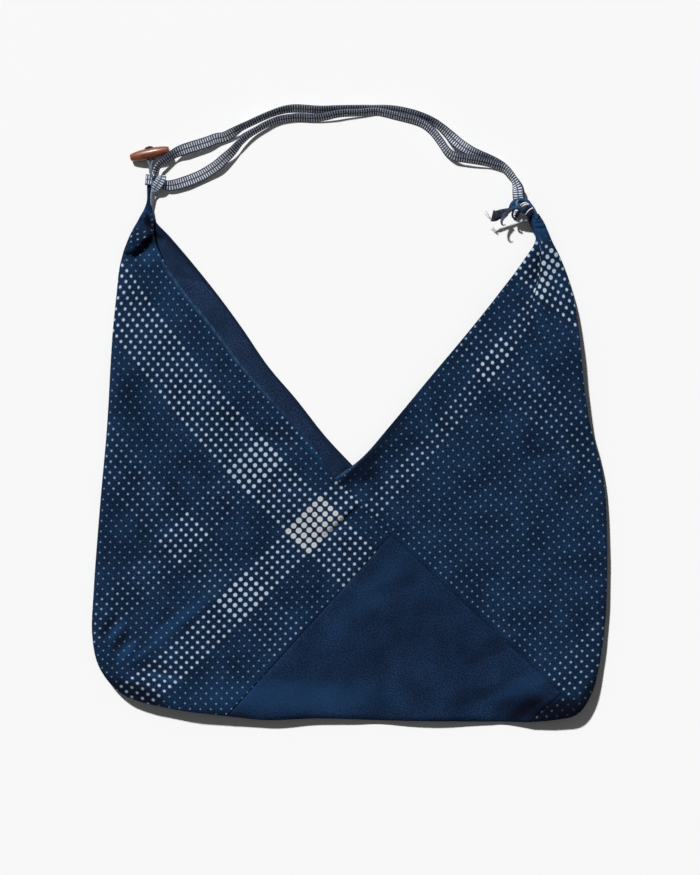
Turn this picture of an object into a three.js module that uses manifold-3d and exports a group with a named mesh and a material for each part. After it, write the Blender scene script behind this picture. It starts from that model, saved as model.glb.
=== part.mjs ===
// A tsuno (horn) bag of indigo cotton that lies face up: three lengths of cloth folded round the
// outline, two gathered horns, a doubled woven tape as the strap, a wooden toggle and a tied knot.
// Millimetres. X is to the right, Y is towards the strap, Z is up, and the bag lies on Z = 0.
import * as THREE from "three";
import { mergeVertices } from "three/addons/utils/BufferGeometryUtils.js";
import Module from "manifold-3d";

const wasm = await Module();
wasm.setup();

// Driving dimensions
const CLOTH = 1.6; // thickness of the cotton
const SEAM_GAP = 0.8; // between two panels that are sewn edge to edge
const FOLD_DEPTH = 9; // how far in from the outline the cloth rounds over
const FRONT_HEIGHT = 9.6; // middle of the front layer above the surface
const BACK_HEIGHT = CLOTH / 2; // middle of the back layer, flat on the surface
const SHUT_GAP = 0.4; // between the two edges where a horn closes
const TAPE_WIDTH = 11;
const TAPE_THICKNESS = 1.6;
const TOGGLE_LENGTH = 39;
const TOGGLE_RADIUS = 5.8;
const TOGGLE_HOLE_RADIUS = 1.7;
const CORD_RADIUS = 1.2;
const SEAM_STEP = 0.02; // how far in from a seam row, in rows, its direction is read
const HALF_REACH = 0.45; // share of a section's front that a fold or a closing horn may take up
const LEAST_LIFT = 0.02; // a lift smaller than this counts as none
const MERGE = 1e-4; // vertices closer than this are one
const CENTRE = [0.34, -2.75]; // moves the tables' origin to the middle of the whole bag

// Grid of each panel: columns on the front, round the fold and on the back, rows for each section.
const FRONT_COLUMNS = 14;
const FOLD_COLUMNS = 4;
const BACK_COLUMNS = 5;
const PANEL_ROWS = 2;
const BASE_ROWS = 5;

// Steps for each row of a run's table, and sides and steps of what is round.
const STRAP_STEPS = 3;
const STRIP_STEPS = 2;
const TURN_STEPS = 6;
const TOGGLE_SIDES = 20;
const HOLE_SIDES = 12;
const CORD_SIDES = 8;
const CORD_STEPS = 16;
const STOPPER_SIDES = 10;
const BARREL_SIDES = 14;
const BAND_POINTS = 12;
const BAND_STEPS = 28;
const BAND_SIDES = 8;
const TWIST_STEPS = 8;
const TWIST_SIDES = 10;

// Colours
const DOTTED = { color: 0x1b2f57, roughness: 0.9, metalness: 0 };
const PLAIN = { color: 0x172a52, roughness: 0.9, metalness: 0 };
const TAPE = { color: 0x77828f, roughness: 0.85, metalness: 0 };
const WOOD = { color: 0x8a4423, roughness: 0.4, metalness: 0 };

// Sections of the left panel, from the horn's tip down and round to the seam with the base.
// front: front edge (mouth, then seam). fold: outline. back: back edge. top and under: heights of the
// middle of the cloth. shut: how far the front and back edges close on each other. A section that
// leaves these out lies flat and open.
const LEFT_SECTIONS = [
  { front: [-199, 223], fold: [-203.4, 224], back: [-199, 223], top: 10, under: 5.4, shut: 1 },
  { front: [-198.5, 209], fold: [-204.4, 210], back: [-198.5, 209], top: 10, under: 4.6, shut: 1 },
  { front: [-197.5, 195], fold: [-211, 196], back: [-196.5, 195.5], top: 10, under: 3, shut: 1 },
  { front: [-196, 177], fold: [-220.5, 177], back: [-180, 177.5], top: 9.6, under: 1.4, shut: 0.5 },
  { front: [-187, 152], fold: [-229, 153], back: [-158, 152], shut: 0.2 },
  { front: [-164, 121], fold: [-233, 121], back: [-133, 121] },
  { front: [-136, 87], fold: [-236.5, 87], back: [-108, 87] },
  { front: [-108.5, 50.5], fold: [-239, 49], back: [-82, 49] },
  { front: [-80, 18], fold: [-241, 11], back: [-54, 16] },
  { front: [-47, -18], fold: [-243.5, -25], back: [-24, -22] },
  { front: [-15, -63], fold: [-247, -63], back: [5, -53] },
  { front: [2, -80.3], fold: [-251.5, -115], back: [-28, -85.8] },
  { front: [18, -96.6], fold: [-255.5, -170], back: [-65, -122.6] },
  { front: [30, -108.8], fold: [-257, -222], back: [-115, -172.4] },
  { front: [36, -114.9], fold: [-250, -256], back: [-158, -215.1] },
  { front: [39, -118], fold: [-222, -279], back: [-184.8, -241.8] },
  { front: [40.3, -119.3], fold: [-174, -294], back: [-185.8, -242.8] },
  { front: [41, -120], fold: [-122, -300], back: [-186, -243] },
];
const LEFT_CORNER = 10; // the section at the bottom of the mouth

const RIGHT_SECTIONS = [
  { front: [179, 201], fold: [189.5, 202.5], back: [179, 201], top: 14, under: 5.5, shut: 1 },
  { front: [182, 189], fold: [194.5, 191], back: [182.5, 189], top: 13, under: 3.4, shut: 1 },
  { front: [185.5, 175], fold: [201.5, 175], back: [187, 174.5], top: 11, under: 1.4, shut: 0.8 },
  { front: [173, 153], fold: [211.5, 153], back: [177, 152], top: 9.8, shut: 0.4 },
  { front: [144, 115], fold: [223, 115], back: [148, 114], shut: 0.1 },
  { front: [109, 72], fold: [229, 70], back: [113, 71] },
  { front: [76.5, 33.4], fold: [233, 27], back: [80.5, 32] },
  { front: [41, -9.5], fold: [240, -13], back: [45, -11] },
  { front: [12, -42.5], fold: [248, -41], back: [16, -45] },
  { front: [-15, -63], fold: [253.5, -69], back: [5, -53] },
  { front: [8, -86.4], fold: [256, -110], back: [-1, -59] },
  { front: [41, -120], fold: [256.3, -155], back: [-7, -65] },
  { front: [86, -161.8], fold: [255, -197], back: [-14, -71.9] },
  { front: [132, -204.5], fold: [250, -240], back: [-20, -77.9] },
  { front: [178, -247.3], fold: [241, -276], back: [-25, -82.8] },
  { front: [209, -276.1], fold: [226, -298], back: [-28, -85.8] },
  { front: [209.8, -276.8], fold: [203, -304], back: [-29.3, -87.1] },
  { front: [210, -277], fold: [179, -306.5], back: [-30, -87.8] },
];
const RIGHT_CORNER = 9;

const BASE_SECTIONS = [
  { front: [41, -120], fold: [-122, -300], back: [-186, -243] },
  { front: [75, -151.6], fold: [-86, -304], back: [-155, -212.2] },
  { front: [109, -183.2], fold: [-30, -302.8], back: [-124, -181.3] },
  { front: [143, -214.8], fold: [36, -305], back: [-92.5, -150] },
  { front: [177, -246.3], fold: [110, -306], back: [-61, -118.7] },
  { front: [210, -277], fold: [179, -306.5], back: [-30, -87.8] },
];

// Soft folds pressed into the front layer: a ridge where rise is over 0, a trough where it is under 0.
const CREASES = [
  { name: "tuck below the mouth", from: [14, -86], to: [-30, -124], half: 7, rise: -2.4 },
  { name: "roll beside the tuck", from: [4, -82], to: [-38, -118], half: 8, rise: 1.6 },
  { name: "left horn folded over", from: [-223, 161], to: [-196, 183], half: 8, rise: 5 },
  { name: "hollow under that fold", from: [-223, 150], to: [-192, 173], half: 6, rise: -3 },
  { name: "upper side pucker", from: [-236, -200], to: [-248, -226], half: 6, rise: -2 },
  { name: "lower side pucker", from: [-222, -213], to: [-240, -238], half: 6, rise: -2 },
  { name: "pinch at the corner", from: [-218, -249], to: [-178, -270], half: 6, rise: -2.4 },
  { name: "roll under the pinch", from: [-222, -262], to: [-182, -282], half: 7, rise: 2 },
  { name: "left panel hollow", from: [-224, -147], to: [-160, -127], half: 15, rise: -2 },
  { name: "left side roll", from: [-224, 90], to: [-236, -60], half: 14, rise: 1.6 },
  { name: "right panel hollow", from: [52, -31], to: [88, -27], half: 13, rise: -2 },
  { name: "right side hollow", from: [172, -32], to: [206, -44], half: 13, rise: -1.6 },
  { name: "right side roll", from: [208, 90], to: [240, -70], half: 17, rise: 2 },
  { name: "base hollow", from: [2, -187], to: [80, -156], half: 15, rise: -2 },
  { name: "base cross hollow", from: [110, -241], to: [148, -225], half: 12, rise: -1.8 },
  { name: "base roll", from: [72, -278], to: [124, -238], half: 20, rise: 1.6 },
  { name: "fold at the lower right", from: [146, -302], to: [194, -282], half: 9, rise: -2.6 },
  { name: "left gather of the right horn", from: [190, 168], to: [178, 112], half: 5, rise: -1.4 },
  { name: "right gather of the right horn", from: [203, 162], to: [212, 90], half: 7, rise: -1.4 },
];

// Places where the whole bag stands up from the surface: top lifts the front, under the back.
const LIFTS = [
  { name: "lower right corner", at: [240, -300], radius: 62, top: 9, under: 6.5 },
  { name: "lower left corner", at: [-250, -268], radius: 40, top: 2, under: 1 },
];

// The two runs of the strap, both from the left knot to its fold. tilt: how far the tape's outer edge
// is turned up from flat, in degrees.
const UPPER_RUN = [
  { at: [-190.2, 237.6, 10], tilt: 62 },
  { at: [-187.5, 253, 9.2], tilt: 48 },
  { at: [-178, 260.8, 9], tilt: 25 },
  { at: [-164.5, 266, 9], tilt: 12 },
  { at: [-143, 273.8, 9], tilt: 10 },
  { at: [-120, 282, 8], tilt: 24 },
  { at: [-97, 292, 7], tilt: 42 },
  { at: [-74, 303.4, 6], tilt: 48 },
  { at: [-51, 307, 5.6], tilt: 45 },
  { at: [-28, 306.4, 5.6], tilt: 45 },
  { at: [-5, 307, 5.6], tilt: 42 },
  { at: [20, 308, 5.6], tilt: 40 },
  { at: [45, 306, 6.2], tilt: 38 },
  { at: [68, 300.5, 7.2], tilt: 34 },
  { at: [88, 291, 8.4], tilt: 26 },
  { at: [104, 276.6, 9.6], tilt: 14 },
  { at: [118, 266, 10.2], tilt: 12 },
  { at: [135, 257.5, 10.8], tilt: 14 },
  { at: [152, 249, 11.2], tilt: 18 },
  { at: [162.5, 238.6, 11.4], tilt: 12 },
  { at: [167.7, 227, 11.4], tilt: 4 },
  { at: [169.4, 214, 11.4], tilt: 0 },
];
const LOWER_RUN = [
  { at: [-184.5, 228.8, 7.6], tilt: 22 },
  { at: [-180, 228, 7.4], tilt: 20 },
  { at: [-164.3, 232.4, 7.4], tilt: 8 },
  { at: [-148, 239, 7.4], tilt: 6 },
  { at: [-133, 248.5, 7.4], tilt: 8 },
  { at: [-121.5, 259, 7], tilt: 16 },
  { at: [-109, 272, 6.4], tilt: 28 },
  { at: [-94, 283, 5.6], tilt: 36 },
  { at: [-80, 292, 5.2], tilt: 40 },
  { at: [-65, 296.5, 5], tilt: 42 },
  { at: [-45, 297.8, 4.8], tilt: 42 },
  { at: [-20, 298.5, 4.8], tilt: 42 },
  { at: [6, 301, 4.8], tilt: 42 },
  { at: [31, 302, 4.8], tilt: 42 },
  { at: [50, 299, 4.8], tilt: 42 },
  { at: [69.5, 293.5, 5.2], tilt: 40 },
  { at: [84.5, 282.5, 5.8], tilt: 36 },
  { at: [94, 269, 6], tilt: 30 },
  { at: [103, 259, 6], tilt: 22 },
  { at: [116, 256, 6.2], tilt: 16 },
  { at: [133, 252.6, 7], tilt: 16 },
  { at: [149.5, 246, 7.8], tilt: 18 },
  { at: [161, 237, 8.4], tilt: 12 },
  { at: [167, 226.5, 8.6], tilt: 4 },
  { at: [169.2, 214, 8.6], tilt: 0 },
];

// Strips of cloth and tape: width across, thick through, tilt as on the strap.
const STUB_STRIP = [
  { at: [-193.5, 227.5, 8.6], width: 7, tilt: 12 },
  { at: [-196.6, 230.5, 8.8], width: 8, tilt: 8 },
  { at: [-199.2, 235, 8.6], width: 8.2, tilt: 6 },
  { at: [-200.6, 239.5, 8.4], width: 8.2, tilt: 6 },
];
const LOOP_STRIP = [
  { at: [-195.2, 224.2, 8], width: 8, tilt: 74 },
  { at: [-195.6, 219, 7.8], width: 9, tilt: 78 },
  { at: [-196.4, 211, 7.6], width: 9, tilt: 80 },
  { at: [-196.2, 203, 7.4], width: 8, tilt: 80 },
];
const LONG_TIE = [
  { at: [159.8, 206.4, 13], width: 6, tilt: 10 },
  { at: [153, 206, 14.4], width: 7.5, tilt: 14 },
  { at: [146.5, 204.6, 14.8], width: 9, tilt: 18 },
  { at: [142, 201, 14], width: 9, tilt: 10 },
  { at: [140.4, 196.4, 13.2], width: 7, tilt: 0 },
  { at: [140.2, 192, 13], width: 4.5, tilt: -6 },
];
const SHORT_TIE = [
  { at: [160.8, 203.4, 9.6], width: 4.5, tilt: 20 },
  { at: [157.6, 200.8, 10.2], width: 4.5, tilt: 18 },
  { at: [152.8, 197.6, 11], width: 6, tilt: 12 },
  { at: [150.8, 193.2, 11.6], width: 5, tilt: 4 },
  { at: [153, 188.8, 11.4], width: 3.4, tilt: 0 },
];

// Wooden toggle and its cord
const TOGGLE_AT = [-200, 262, 6.2];
const TOGGLE_TURN = 10.5; // degrees that it rises to the right
const TOGGLE_PROFILE = [
  { along: -0.5, radius: 0 },
  { along: -0.5, radius: 0.42 },
  { along: -0.48, radius: 0.5 },
  { along: -0.38, radius: 0.7 },
  { along: -0.22, radius: 0.92 },
  { along: -0.08, radius: 1 },
  { along: 0.08, radius: 1 },
  { along: 0.22, radius: 0.92 },
  { along: 0.38, radius: 0.7 },
  { along: 0.48, radius: 0.5 },
  { along: 0.5, radius: 0.42 },
  { along: 0.5, radius: 0 },
];
const CORD_PATH = [
  [-201.5, 270.2, 6.2],
  [-200, 262, 6.2],
  [-198.5, 254.2, 6.4],
  [-195.5, 246, 7.6],
  [-194, 239.2, 9],
];
const STOPPER_RADIUS = 2.6;

// Knots
const TAPE_KNOT_AT = [-190.8, 231.4, 8.2];
const TAPE_KNOT_RADIUS = 4.6;
const TAPE_KNOT_LENGTH = 9;
const TAPE_KNOT_TURN = 18; // degrees
const TAPE_KNOT_FLATNESS = 0.86; // its thickness for each unit of its width
const TAPE_KNOT_PROFILE = [
  { along: -0.5, radius: 0 },
  { along: -0.5, radius: 0.86 },
  { along: -0.35, radius: 1 },
  { along: 0, radius: 0.94 },
  { along: 0.35, radius: 1 },
  { along: 0.5, radius: 0.86 },
  { along: 0.5, radius: 0 },
];
const BAND_AT = [169.6, 210.6, 10]; // band of the right knot, round the strap's fold
const BAND_HALF_WIDTH = 8.6;
const BAND_HALF_HEIGHT = 5.8;
const BAND_RADIUS = 2.2;
const KNOT_PATH = [
  [163.5, 206.5, 9],
  [167.5, 204.8, 9.6],
  [172.5, 204.8, 10.6],
  [178, 205.6, 11],
  [183, 206.4, 10.4],
];
const KNOT_RADIUS = 3.9;

const radians = (degrees) => (degrees * Math.PI) / 180;

// A closed geometry as a solid that can be cut and joined, and back.
function solidOf(geometry) {
  const bare = geometry.clone().deleteAttribute("normal").deleteAttribute("uv");
  const merged = mergeVertices(bare, MERGE);
  const vertProperties = merged.attributes.position.array;
  const triVerts = new Uint32Array(merged.index.array);
  return new wasm.Manifold(new wasm.Mesh({ numProp: 3, vertProperties, triVerts }));
}

function geometryOf(solid) {
  const mesh = solid.getMesh();
  const geometry = new THREE.BufferGeometry();
  geometry.setAttribute("position", new THREE.BufferAttribute(mesh.vertProperties, 3));
  geometry.setIndex(new THREE.BufferAttribute(mesh.triVerts, 1));
  geometry.computeVertexNormals();
  return geometry;
}

function indexed(points, faces) {
  const geometry = new THREE.BufferGeometry().setFromPoints(points);
  geometry.setIndex(faces);
  geometry.computeVertexNormals();
  return geometry;
}

// How far a table's soft folds or lifts raise the cloth at a place.
function creaseAt(x, y) {
  let rise = 0;
  for (const crease of CREASES) {
    const run = [crease.to[0] - crease.from[0], crease.to[1] - crease.from[1]];
    const length = Math.hypot(...run);
    const offset = [x - crease.from[0], y - crease.from[1]];
    const along = (offset[0] * run[0] + offset[1] * run[1]) / length ** 2;
    const across = (offset[0] * run[1] - offset[1] * run[0]) / length;
    if (along <= 0 || along >= 1) continue;
    const fade = 1 - (2 * along - 1) ** 2;
    rise += crease.rise * fade * Math.exp(-((across / crease.half) ** 2));
  }
  return rise;
}

function liftAt(x, y, layer) {
  let lift = 0;
  for (const place of LIFTS) {
    const distance = Math.hypot(x - place.at[0], y - place.at[1]);
    lift += place[layer] * Math.exp(-((distance / place.radius) ** 2));
  }
  return lift < LEAST_LIFT ? 0 : lift;
}

// A smooth line through one column of a section table. A corner keeps its sharp turn.
function lineThrough(sections, pick, corner) {
  const points = sections.map((section) => new THREE.Vector3(...pick(section)));
  const spans = corner ? [points.slice(0, corner + 1), points.slice(corner)] : [points];
  const curves = spans.map((span) => smooth(span));
  return (row) => {
    const part = corner !== undefined && row > corner ? 1 : 0;
    const from = part * (corner ?? 0);
    return curves[part].getPoint((row - from) / (spans[part].length - 1));
  };
}

// One row of the middle of the cloth, from the front edge round the fold to the back edge.
function rowOfCloth(front, fold, back, heights) {
  const { top, under, shut } = heights;
  const reach = front.distanceTo(fold);
  const depth = Math.min(FOLD_DEPTH, HALF_REACH * reach);
  const backDepth = Math.min(FOLD_DEPTH, HALF_REACH * back.distanceTo(fold));
  const middle = (top + under) / 2;
  const toFront = front.clone().sub(fold).normalize();
  const toBack = back.clone().sub(fold).normalize();
  const arch = (distance) => {
    const part = Math.min(distance / (HALF_REACH * reach), 1);
    return 1 - shut * (1 - Math.sqrt(1 - (1 - part) ** 2));
  };
  const edge = (CLOTH + SHUT_GAP) / 2;
  const topAt = (p, distance) => {
    const open = top + creaseAt(p.x, p.y) + liftAt(p.x, p.y, "top");
    return middle + edge + (open - middle - edge) * arch(distance);
  };
  const underAt = (p, distance) => {
    const open = under + liftAt(p.x, p.y, "under");
    return middle - edge + (open - middle + edge) * arch(distance);
  };
  const row = [];
  for (let i = 0; i <= FRONT_COLUMNS; i++) {
    const distance = ((reach - depth) * i) / FRONT_COLUMNS;
    const p = front.clone().addScaledVector(toFront, -distance);
    row.push(p.setZ(topAt(p, distance)));
  }
  const crest = row[FRONT_COLUMNS].z;
  const foot = fold.clone().addScaledVector(toBack, backDepth);
  foot.setZ(underAt(foot, reach));
  const waist = (crest + foot.z) / 2;
  for (let i = 1; i <= FOLD_COLUMNS; i++) {
    const turn = radians((90 * i) / FOLD_COLUMNS);
    const p = fold.clone().addScaledVector(toFront, depth * (1 - Math.sin(turn)));
    row.push(p.setZ(waist + (crest - waist) * Math.cos(turn)));
  }
  for (let i = 1; i <= FOLD_COLUMNS; i++) {
    const turn = radians((90 * i) / FOLD_COLUMNS);
    const p = fold.clone().addScaledVector(toBack, backDepth * (1 - Math.cos(turn)));
    row.push(p.setZ(waist + (foot.z - waist) * Math.sin(turn)));
  }
  for (let i = 1; i <= BACK_COLUMNS; i++) {
    const p = foot.clone().lerp(back, i / BACK_COLUMNS);
    row.push(p.setZ(underAt(p, (1 - i / BACK_COLUMNS) * reach)));
  }
  return row;
}

// A number in a section table, straight from row to row.
function numberThrough(sections, key, usual) {
  return (row) => {
    const before = Math.min(Math.floor(row), sections.length - 2);
    const [a, b] = [sections[before][key] ?? usual, sections[before + 1][key] ?? usual];
    return a + (b - a) * (row - before);
  };
}

// Half the seam gap, square to an edge. hand is 1 where the panel's cloth lies to the left of its
// edges as the rows go on, and -1 where it lies to the right.
function drawnIn(line, row, end, hand) {
  const along = line(Math.min(row + SEAM_STEP, end)).sub(line(Math.max(row - SEAM_STEP, 0)));
  return new THREE.Vector3(-along.y * hand, along.x * hand, 0).setLength(SEAM_GAP / 2);
}

// A panel's grid of points through all its sections. Its edges are drawn in by half the seam gap, and
// so are its first and last rows where shape.seams says that they are sewn. shape.round names the
// edge whose last point lies outside the base panel's corner and so moves out instead.
function gridOfPanel(sections, rowsPerSection, shape) {
  const flat = (key) => (section) => [...section[key], 0];
  const lines = {
    front: lineThrough(sections, flat("front"), shape.corner),
    fold: lineThrough(sections, flat("fold")),
    back: lineThrough(sections, flat("back"), shape.corner),
  };
  const top = numberThrough(sections, "top", FRONT_HEIGHT);
  const under = numberThrough(sections, "under", BACK_HEIGHT);
  const shut = numberThrough(sections, "shut", 0);
  const end = sections.length - 1;
  const last = end * rowsPerSection;
  const grid = [];
  for (let i = 0; i <= last; i++) {
    const row = i / rowsPerSection;
    const sewn = (i === 0 && shape.seams.includes("first")) || (i === last && shape.seams.includes("last"));
    const inward = i === 0 ? SEAM_STEP : -SEAM_STEP;
    const [front, fold, back] = Object.entries(lines).map(([name, line]) => {
      const point = line(row);
      if (name !== "fold") point.add(drawnIn(line, row, end, shape.hand));
      if (!sewn) return point;
      const along = line(row + inward).sub(line(row)).normalize();
      return point.addScaledVector(along, name === shape.round ? -SEAM_GAP / 2 : SEAM_GAP / Math.SQRT2);
    });
    const heights = { top: top(row), under: under(row), shut: shut(row) };
    grid.push(rowOfCloth(front, fold, back, heights));
  }
  return grid;
}

// Thickens a grid of points, the middle of a sheet, to one closed solid.
function sheet(grid, thickness) {
  const rows = grid.length;
  const columns = grid[0].length;
  const within = (n, count) => Math.min(Math.max(n, 0), count - 1);
  const at = (i, j) => grid[within(i, rows)][within(j, columns)];
  const outer = [];
  const inner = [];
  for (let i = 0; i < rows; i++) {
    for (let j = 0; j < columns; j++) {
      const along = at(i, j + 1).clone().sub(at(i, j - 1));
      const down = at(i + 1, j).clone().sub(at(i - 1, j));
      const normal = along.cross(down).normalize().multiplyScalar(thickness / 2);
      outer.push(at(i, j).clone().add(normal));
      inner.push(at(i, j).clone().sub(normal));
    }
  }
  const total = rows * columns;
  const faces = [];
  const quad = (a, b, c, d) => faces.push(a, b, c, a, c, d);
  for (let i = 0; i < rows - 1; i++) {
    for (let j = 0; j < columns - 1; j++) {
      const a = i * columns + j;
      const b = a + 1;
      const c = b + columns;
      const d = a + columns;
      quad(a, b, c, d);
      quad(total + a, total + d, total + c, total + b);
    }
  }
  const rim = [];
  for (let j = 0; j < columns - 1; j++) rim.push(j);
  for (let i = 0; i < rows - 1; i++) rim.push(i * columns + columns - 1);
  for (let j = columns - 1; j > 0; j--) rim.push((rows - 1) * columns + j);
  for (let i = rows - 1; i > 0; i--) rim.push(i * columns);
  rim.forEach((a, n) => {
    const b = rim[(n + 1) % rim.length];
    quad(a, total + a, total + b, b);
  });
  return indexed([...outer, ...inner], faces);
}

// The grid of a right-hand panel is turned round so that its faces point out.
const mirrored = (grid) => grid.map((row) => [...row].reverse());

const smooth = (points, closed = false) => new THREE.CatmullRomCurve3(points, closed, "centripetal");

// A run's frames: the middle of the strip and the way of its width, at even steps.
function framesOf(run, stepsPerRow) {
  const path = smooth(run.map((row) => new THREE.Vector3(...row.at)));
  const sizes = smooth(run.map((row) => new THREE.Vector3(row.width ?? TAPE_WIDTH, row.tilt, 0)));
  const steps = (run.length - 1) * stepsPerRow;
  const frames = [];
  for (let i = 0; i <= steps; i++) {
    const t = i / steps;
    const tangent = path.getTangent(t);
    const size = sizes.getPoint(t);
    const level = new THREE.Vector3(0, 0, 1).cross(tangent).normalize();
    const raised = tangent.clone().cross(level);
    const tilt = radians(size.y);
    const side = level.multiplyScalar(Math.cos(tilt)).addScaledVector(raised, Math.sin(tilt));
    frames.push({ point: path.getPoint(t), side: side.multiplyScalar(size.x / 2) });
  }
  return frames;
}

// A closed strip of a given thickness through frames.
function strip(frames, thickness) {
  const points = [];
  frames.forEach((frame, i) => {
    const before = frames[Math.max(i - 1, 0)].point;
    const after = frames[Math.min(i + 1, frames.length - 1)].point;
    const tangent = after.clone().sub(before);
    const up = tangent.cross(frame.side).normalize().multiplyScalar(thickness / 2);
    for (const [across, through] of [[1, 1], [-1, 1], [-1, -1], [1, -1]]) {
      const corner = frame.point.clone().addScaledVector(frame.side, across);
      points.push(corner.addScaledVector(up, through));
    }
  });
  const faces = [0, 2, 1, 0, 3, 2];
  const last = (frames.length - 1) * 4;
  faces.push(last, last + 1, last + 2, last, last + 2, last + 3);
  for (let i = 0; i < frames.length - 1; i++) {
    for (let k = 0; k < 4; k++) {
      const a = i * 4 + k;
      const b = i * 4 + ((k + 1) % 4);
      faces.push(a, b, b + 4, a, b + 4, a + 4);
    }
  }
  return indexed(points, faces);
}

// The strap: the upper run, the fold inside the knot, and the lower run back.
function strapFrames() {
  const upper = framesOf(UPPER_RUN, STRAP_STEPS);
  const lower = framesOf(LOWER_RUN, STRAP_STEPS);
  const from = upper[upper.length - 1];
  const to = lower[lower.length - 1];
  const middle = from.point.clone().add(to.point).divideScalar(2);
  const rise = from.point.clone().sub(middle);
  const before = upper[upper.length - 2];
  const ahead = from.point.clone().sub(before.point).setZ(0).setLength(rise.length());
  const turn = [];
  for (let i = 1; i < TURN_STEPS; i++) {
    const angle = (Math.PI * i) / TURN_STEPS;
    const point = middle.clone().addScaledVector(rise, Math.cos(angle));
    point.addScaledVector(ahead, Math.sin(angle));
    turn.push({ point, side: from.side });
  }
  return [...upper, ...turn, ...lower.reverse()];
}

// A round bar along a path.
function bar(path, radius, steps, sides, closed = false) {
  const points = path.map((p) => new THREE.Vector3(...p));
  const circle = new THREE.Shape();
  for (let i = 0; i < sides; i++) {
    const angle = (2 * Math.PI * i) / sides;
    const place = [radius * Math.cos(angle), radius * Math.sin(angle)];
    if (i === 0) circle.moveTo(...place);
    else circle.lineTo(...place);
  }
  circle.closePath();
  return new THREE.ExtrudeGeometry(circle, { steps, extrudePath: smooth(points, closed) });
}

// A turned piece from a profile table, standing along Y.
function turned(profile, radius, length, sides) {
  const points = profile.map((p) => new THREE.Vector2(p.radius * radius, p.along * length));
  return new THREE.LatheGeometry(points, sides);
}

function toggleGeometry() {
  const bead = turned(TOGGLE_PROFILE, TOGGLE_RADIUS, TOGGLE_LENGTH, TOGGLE_SIDES).rotateZ(-Math.PI / 2);
  const through = 4 * TOGGLE_RADIUS;
  const hole = new THREE.CylinderGeometry(TOGGLE_HOLE_RADIUS, TOGGLE_HOLE_RADIUS, through, HOLE_SIDES);
  return geometryOf(solidOf(bead).subtract(solidOf(hole)));
}

function toggleCordGeometry() {
  const cord = bar(CORD_PATH, CORD_RADIUS, CORD_STEPS, CORD_SIDES);
  const stopper = new THREE.SphereGeometry(STOPPER_RADIUS, STOPPER_SIDES, STOPPER_SIDES);
  stopper.translate(...CORD_PATH[0]);
  return geometryOf(solidOf(cord).add(solidOf(stopper)));
}

function tapeKnotGeometry() {
  const barrel = turned(TAPE_KNOT_PROFILE, TAPE_KNOT_RADIUS, TAPE_KNOT_LENGTH, BARREL_SIDES);
  barrel.scale(1, 1, TAPE_KNOT_FLATNESS).rotateZ(radians(TAPE_KNOT_TURN)).translate(...TAPE_KNOT_AT);
  const stub = strip(framesOf(STUB_STRIP, STRIP_STEPS), TAPE_THICKNESS);
  return geometryOf(solidOf(barrel).add(solidOf(stub)));
}

function hornKnotGeometry() {
  const ring = [];
  for (let i = 0; i < BAND_POINTS; i++) {
    const angle = (2 * Math.PI * i) / BAND_POINTS;
    ring.push([
      BAND_AT[0] + BAND_HALF_WIDTH * Math.cos(angle),
      BAND_AT[1],
      BAND_AT[2] + BAND_HALF_HEIGHT * Math.sin(angle),
    ]);
  }
  const band = bar(ring, BAND_RADIUS, BAND_STEPS, BAND_SIDES, true);
  const twist = bar(KNOT_PATH, KNOT_RADIUS, TWIST_STEPS, TWIST_SIDES);
  return geometryOf(solidOf(band).add(solidOf(twist)));
}

const bag = new THREE.Group();

function place(name, geometry, finish) {
  const mesh = new THREE.Mesh(geometry, new THREE.MeshStandardMaterial(finish));
  mesh.name = name;
  bag.add(mesh);
  return mesh;
}

const LEFT_SHAPE = { corner: LEFT_CORNER, hand: -1, seams: ["last"], round: "back" };
const RIGHT_SHAPE = { corner: RIGHT_CORNER, hand: 1, seams: ["last"], round: "front" };
const BASE_SHAPE = { hand: -1, seams: ["first", "last"] };
const leftGrid = gridOfPanel(LEFT_SECTIONS, PANEL_ROWS, LEFT_SHAPE);
const rightGrid = gridOfPanel(RIGHT_SECTIONS, PANEL_ROWS, RIGHT_SHAPE);
const baseGrid = gridOfPanel(BASE_SECTIONS, BASE_ROWS, BASE_SHAPE);
place("left_panel", sheet(leftGrid, CLOTH), DOTTED);
place("right_panel", sheet(mirrored(rightGrid), CLOTH), DOTTED);
place("base_panel", sheet(baseGrid, CLOTH), PLAIN);
place("strap_tape", strip(strapFrames(), TAPE_THICKNESS), TAPE);
place("tape_knot", tapeKnotGeometry(), TAPE);
place("tape_loop", strip(framesOf(LOOP_STRIP, STRIP_STEPS), TAPE_THICKNESS), TAPE);
place("toggle_cord", toggleCordGeometry(), TAPE);
place("horn_knot", hornKnotGeometry(), PLAIN);
place("tie_end_long", strip(framesOf(LONG_TIE, STRIP_STEPS), CLOTH), PLAIN);
place("tie_end_short", strip(framesOf(SHORT_TIE, STRIP_STEPS), CLOTH), PLAIN);
const toggle = place("toggle", toggleGeometry(), WOOD);
toggle.position.set(...TOGGLE_AT);
toggle.rotation.z = radians(TOGGLE_TURN);

bag.position.set(...CENTRE, 0);

export default bag;
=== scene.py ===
"""A tsuno (horn) bag of indigo cotton, lying face up on a pale surface.

The three lengths of cloth, the strap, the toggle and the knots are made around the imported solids.
Sizes in the tables are millimetres; X is to the right, Y towards the strap, Z up from the surface.
"""
import math

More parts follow.
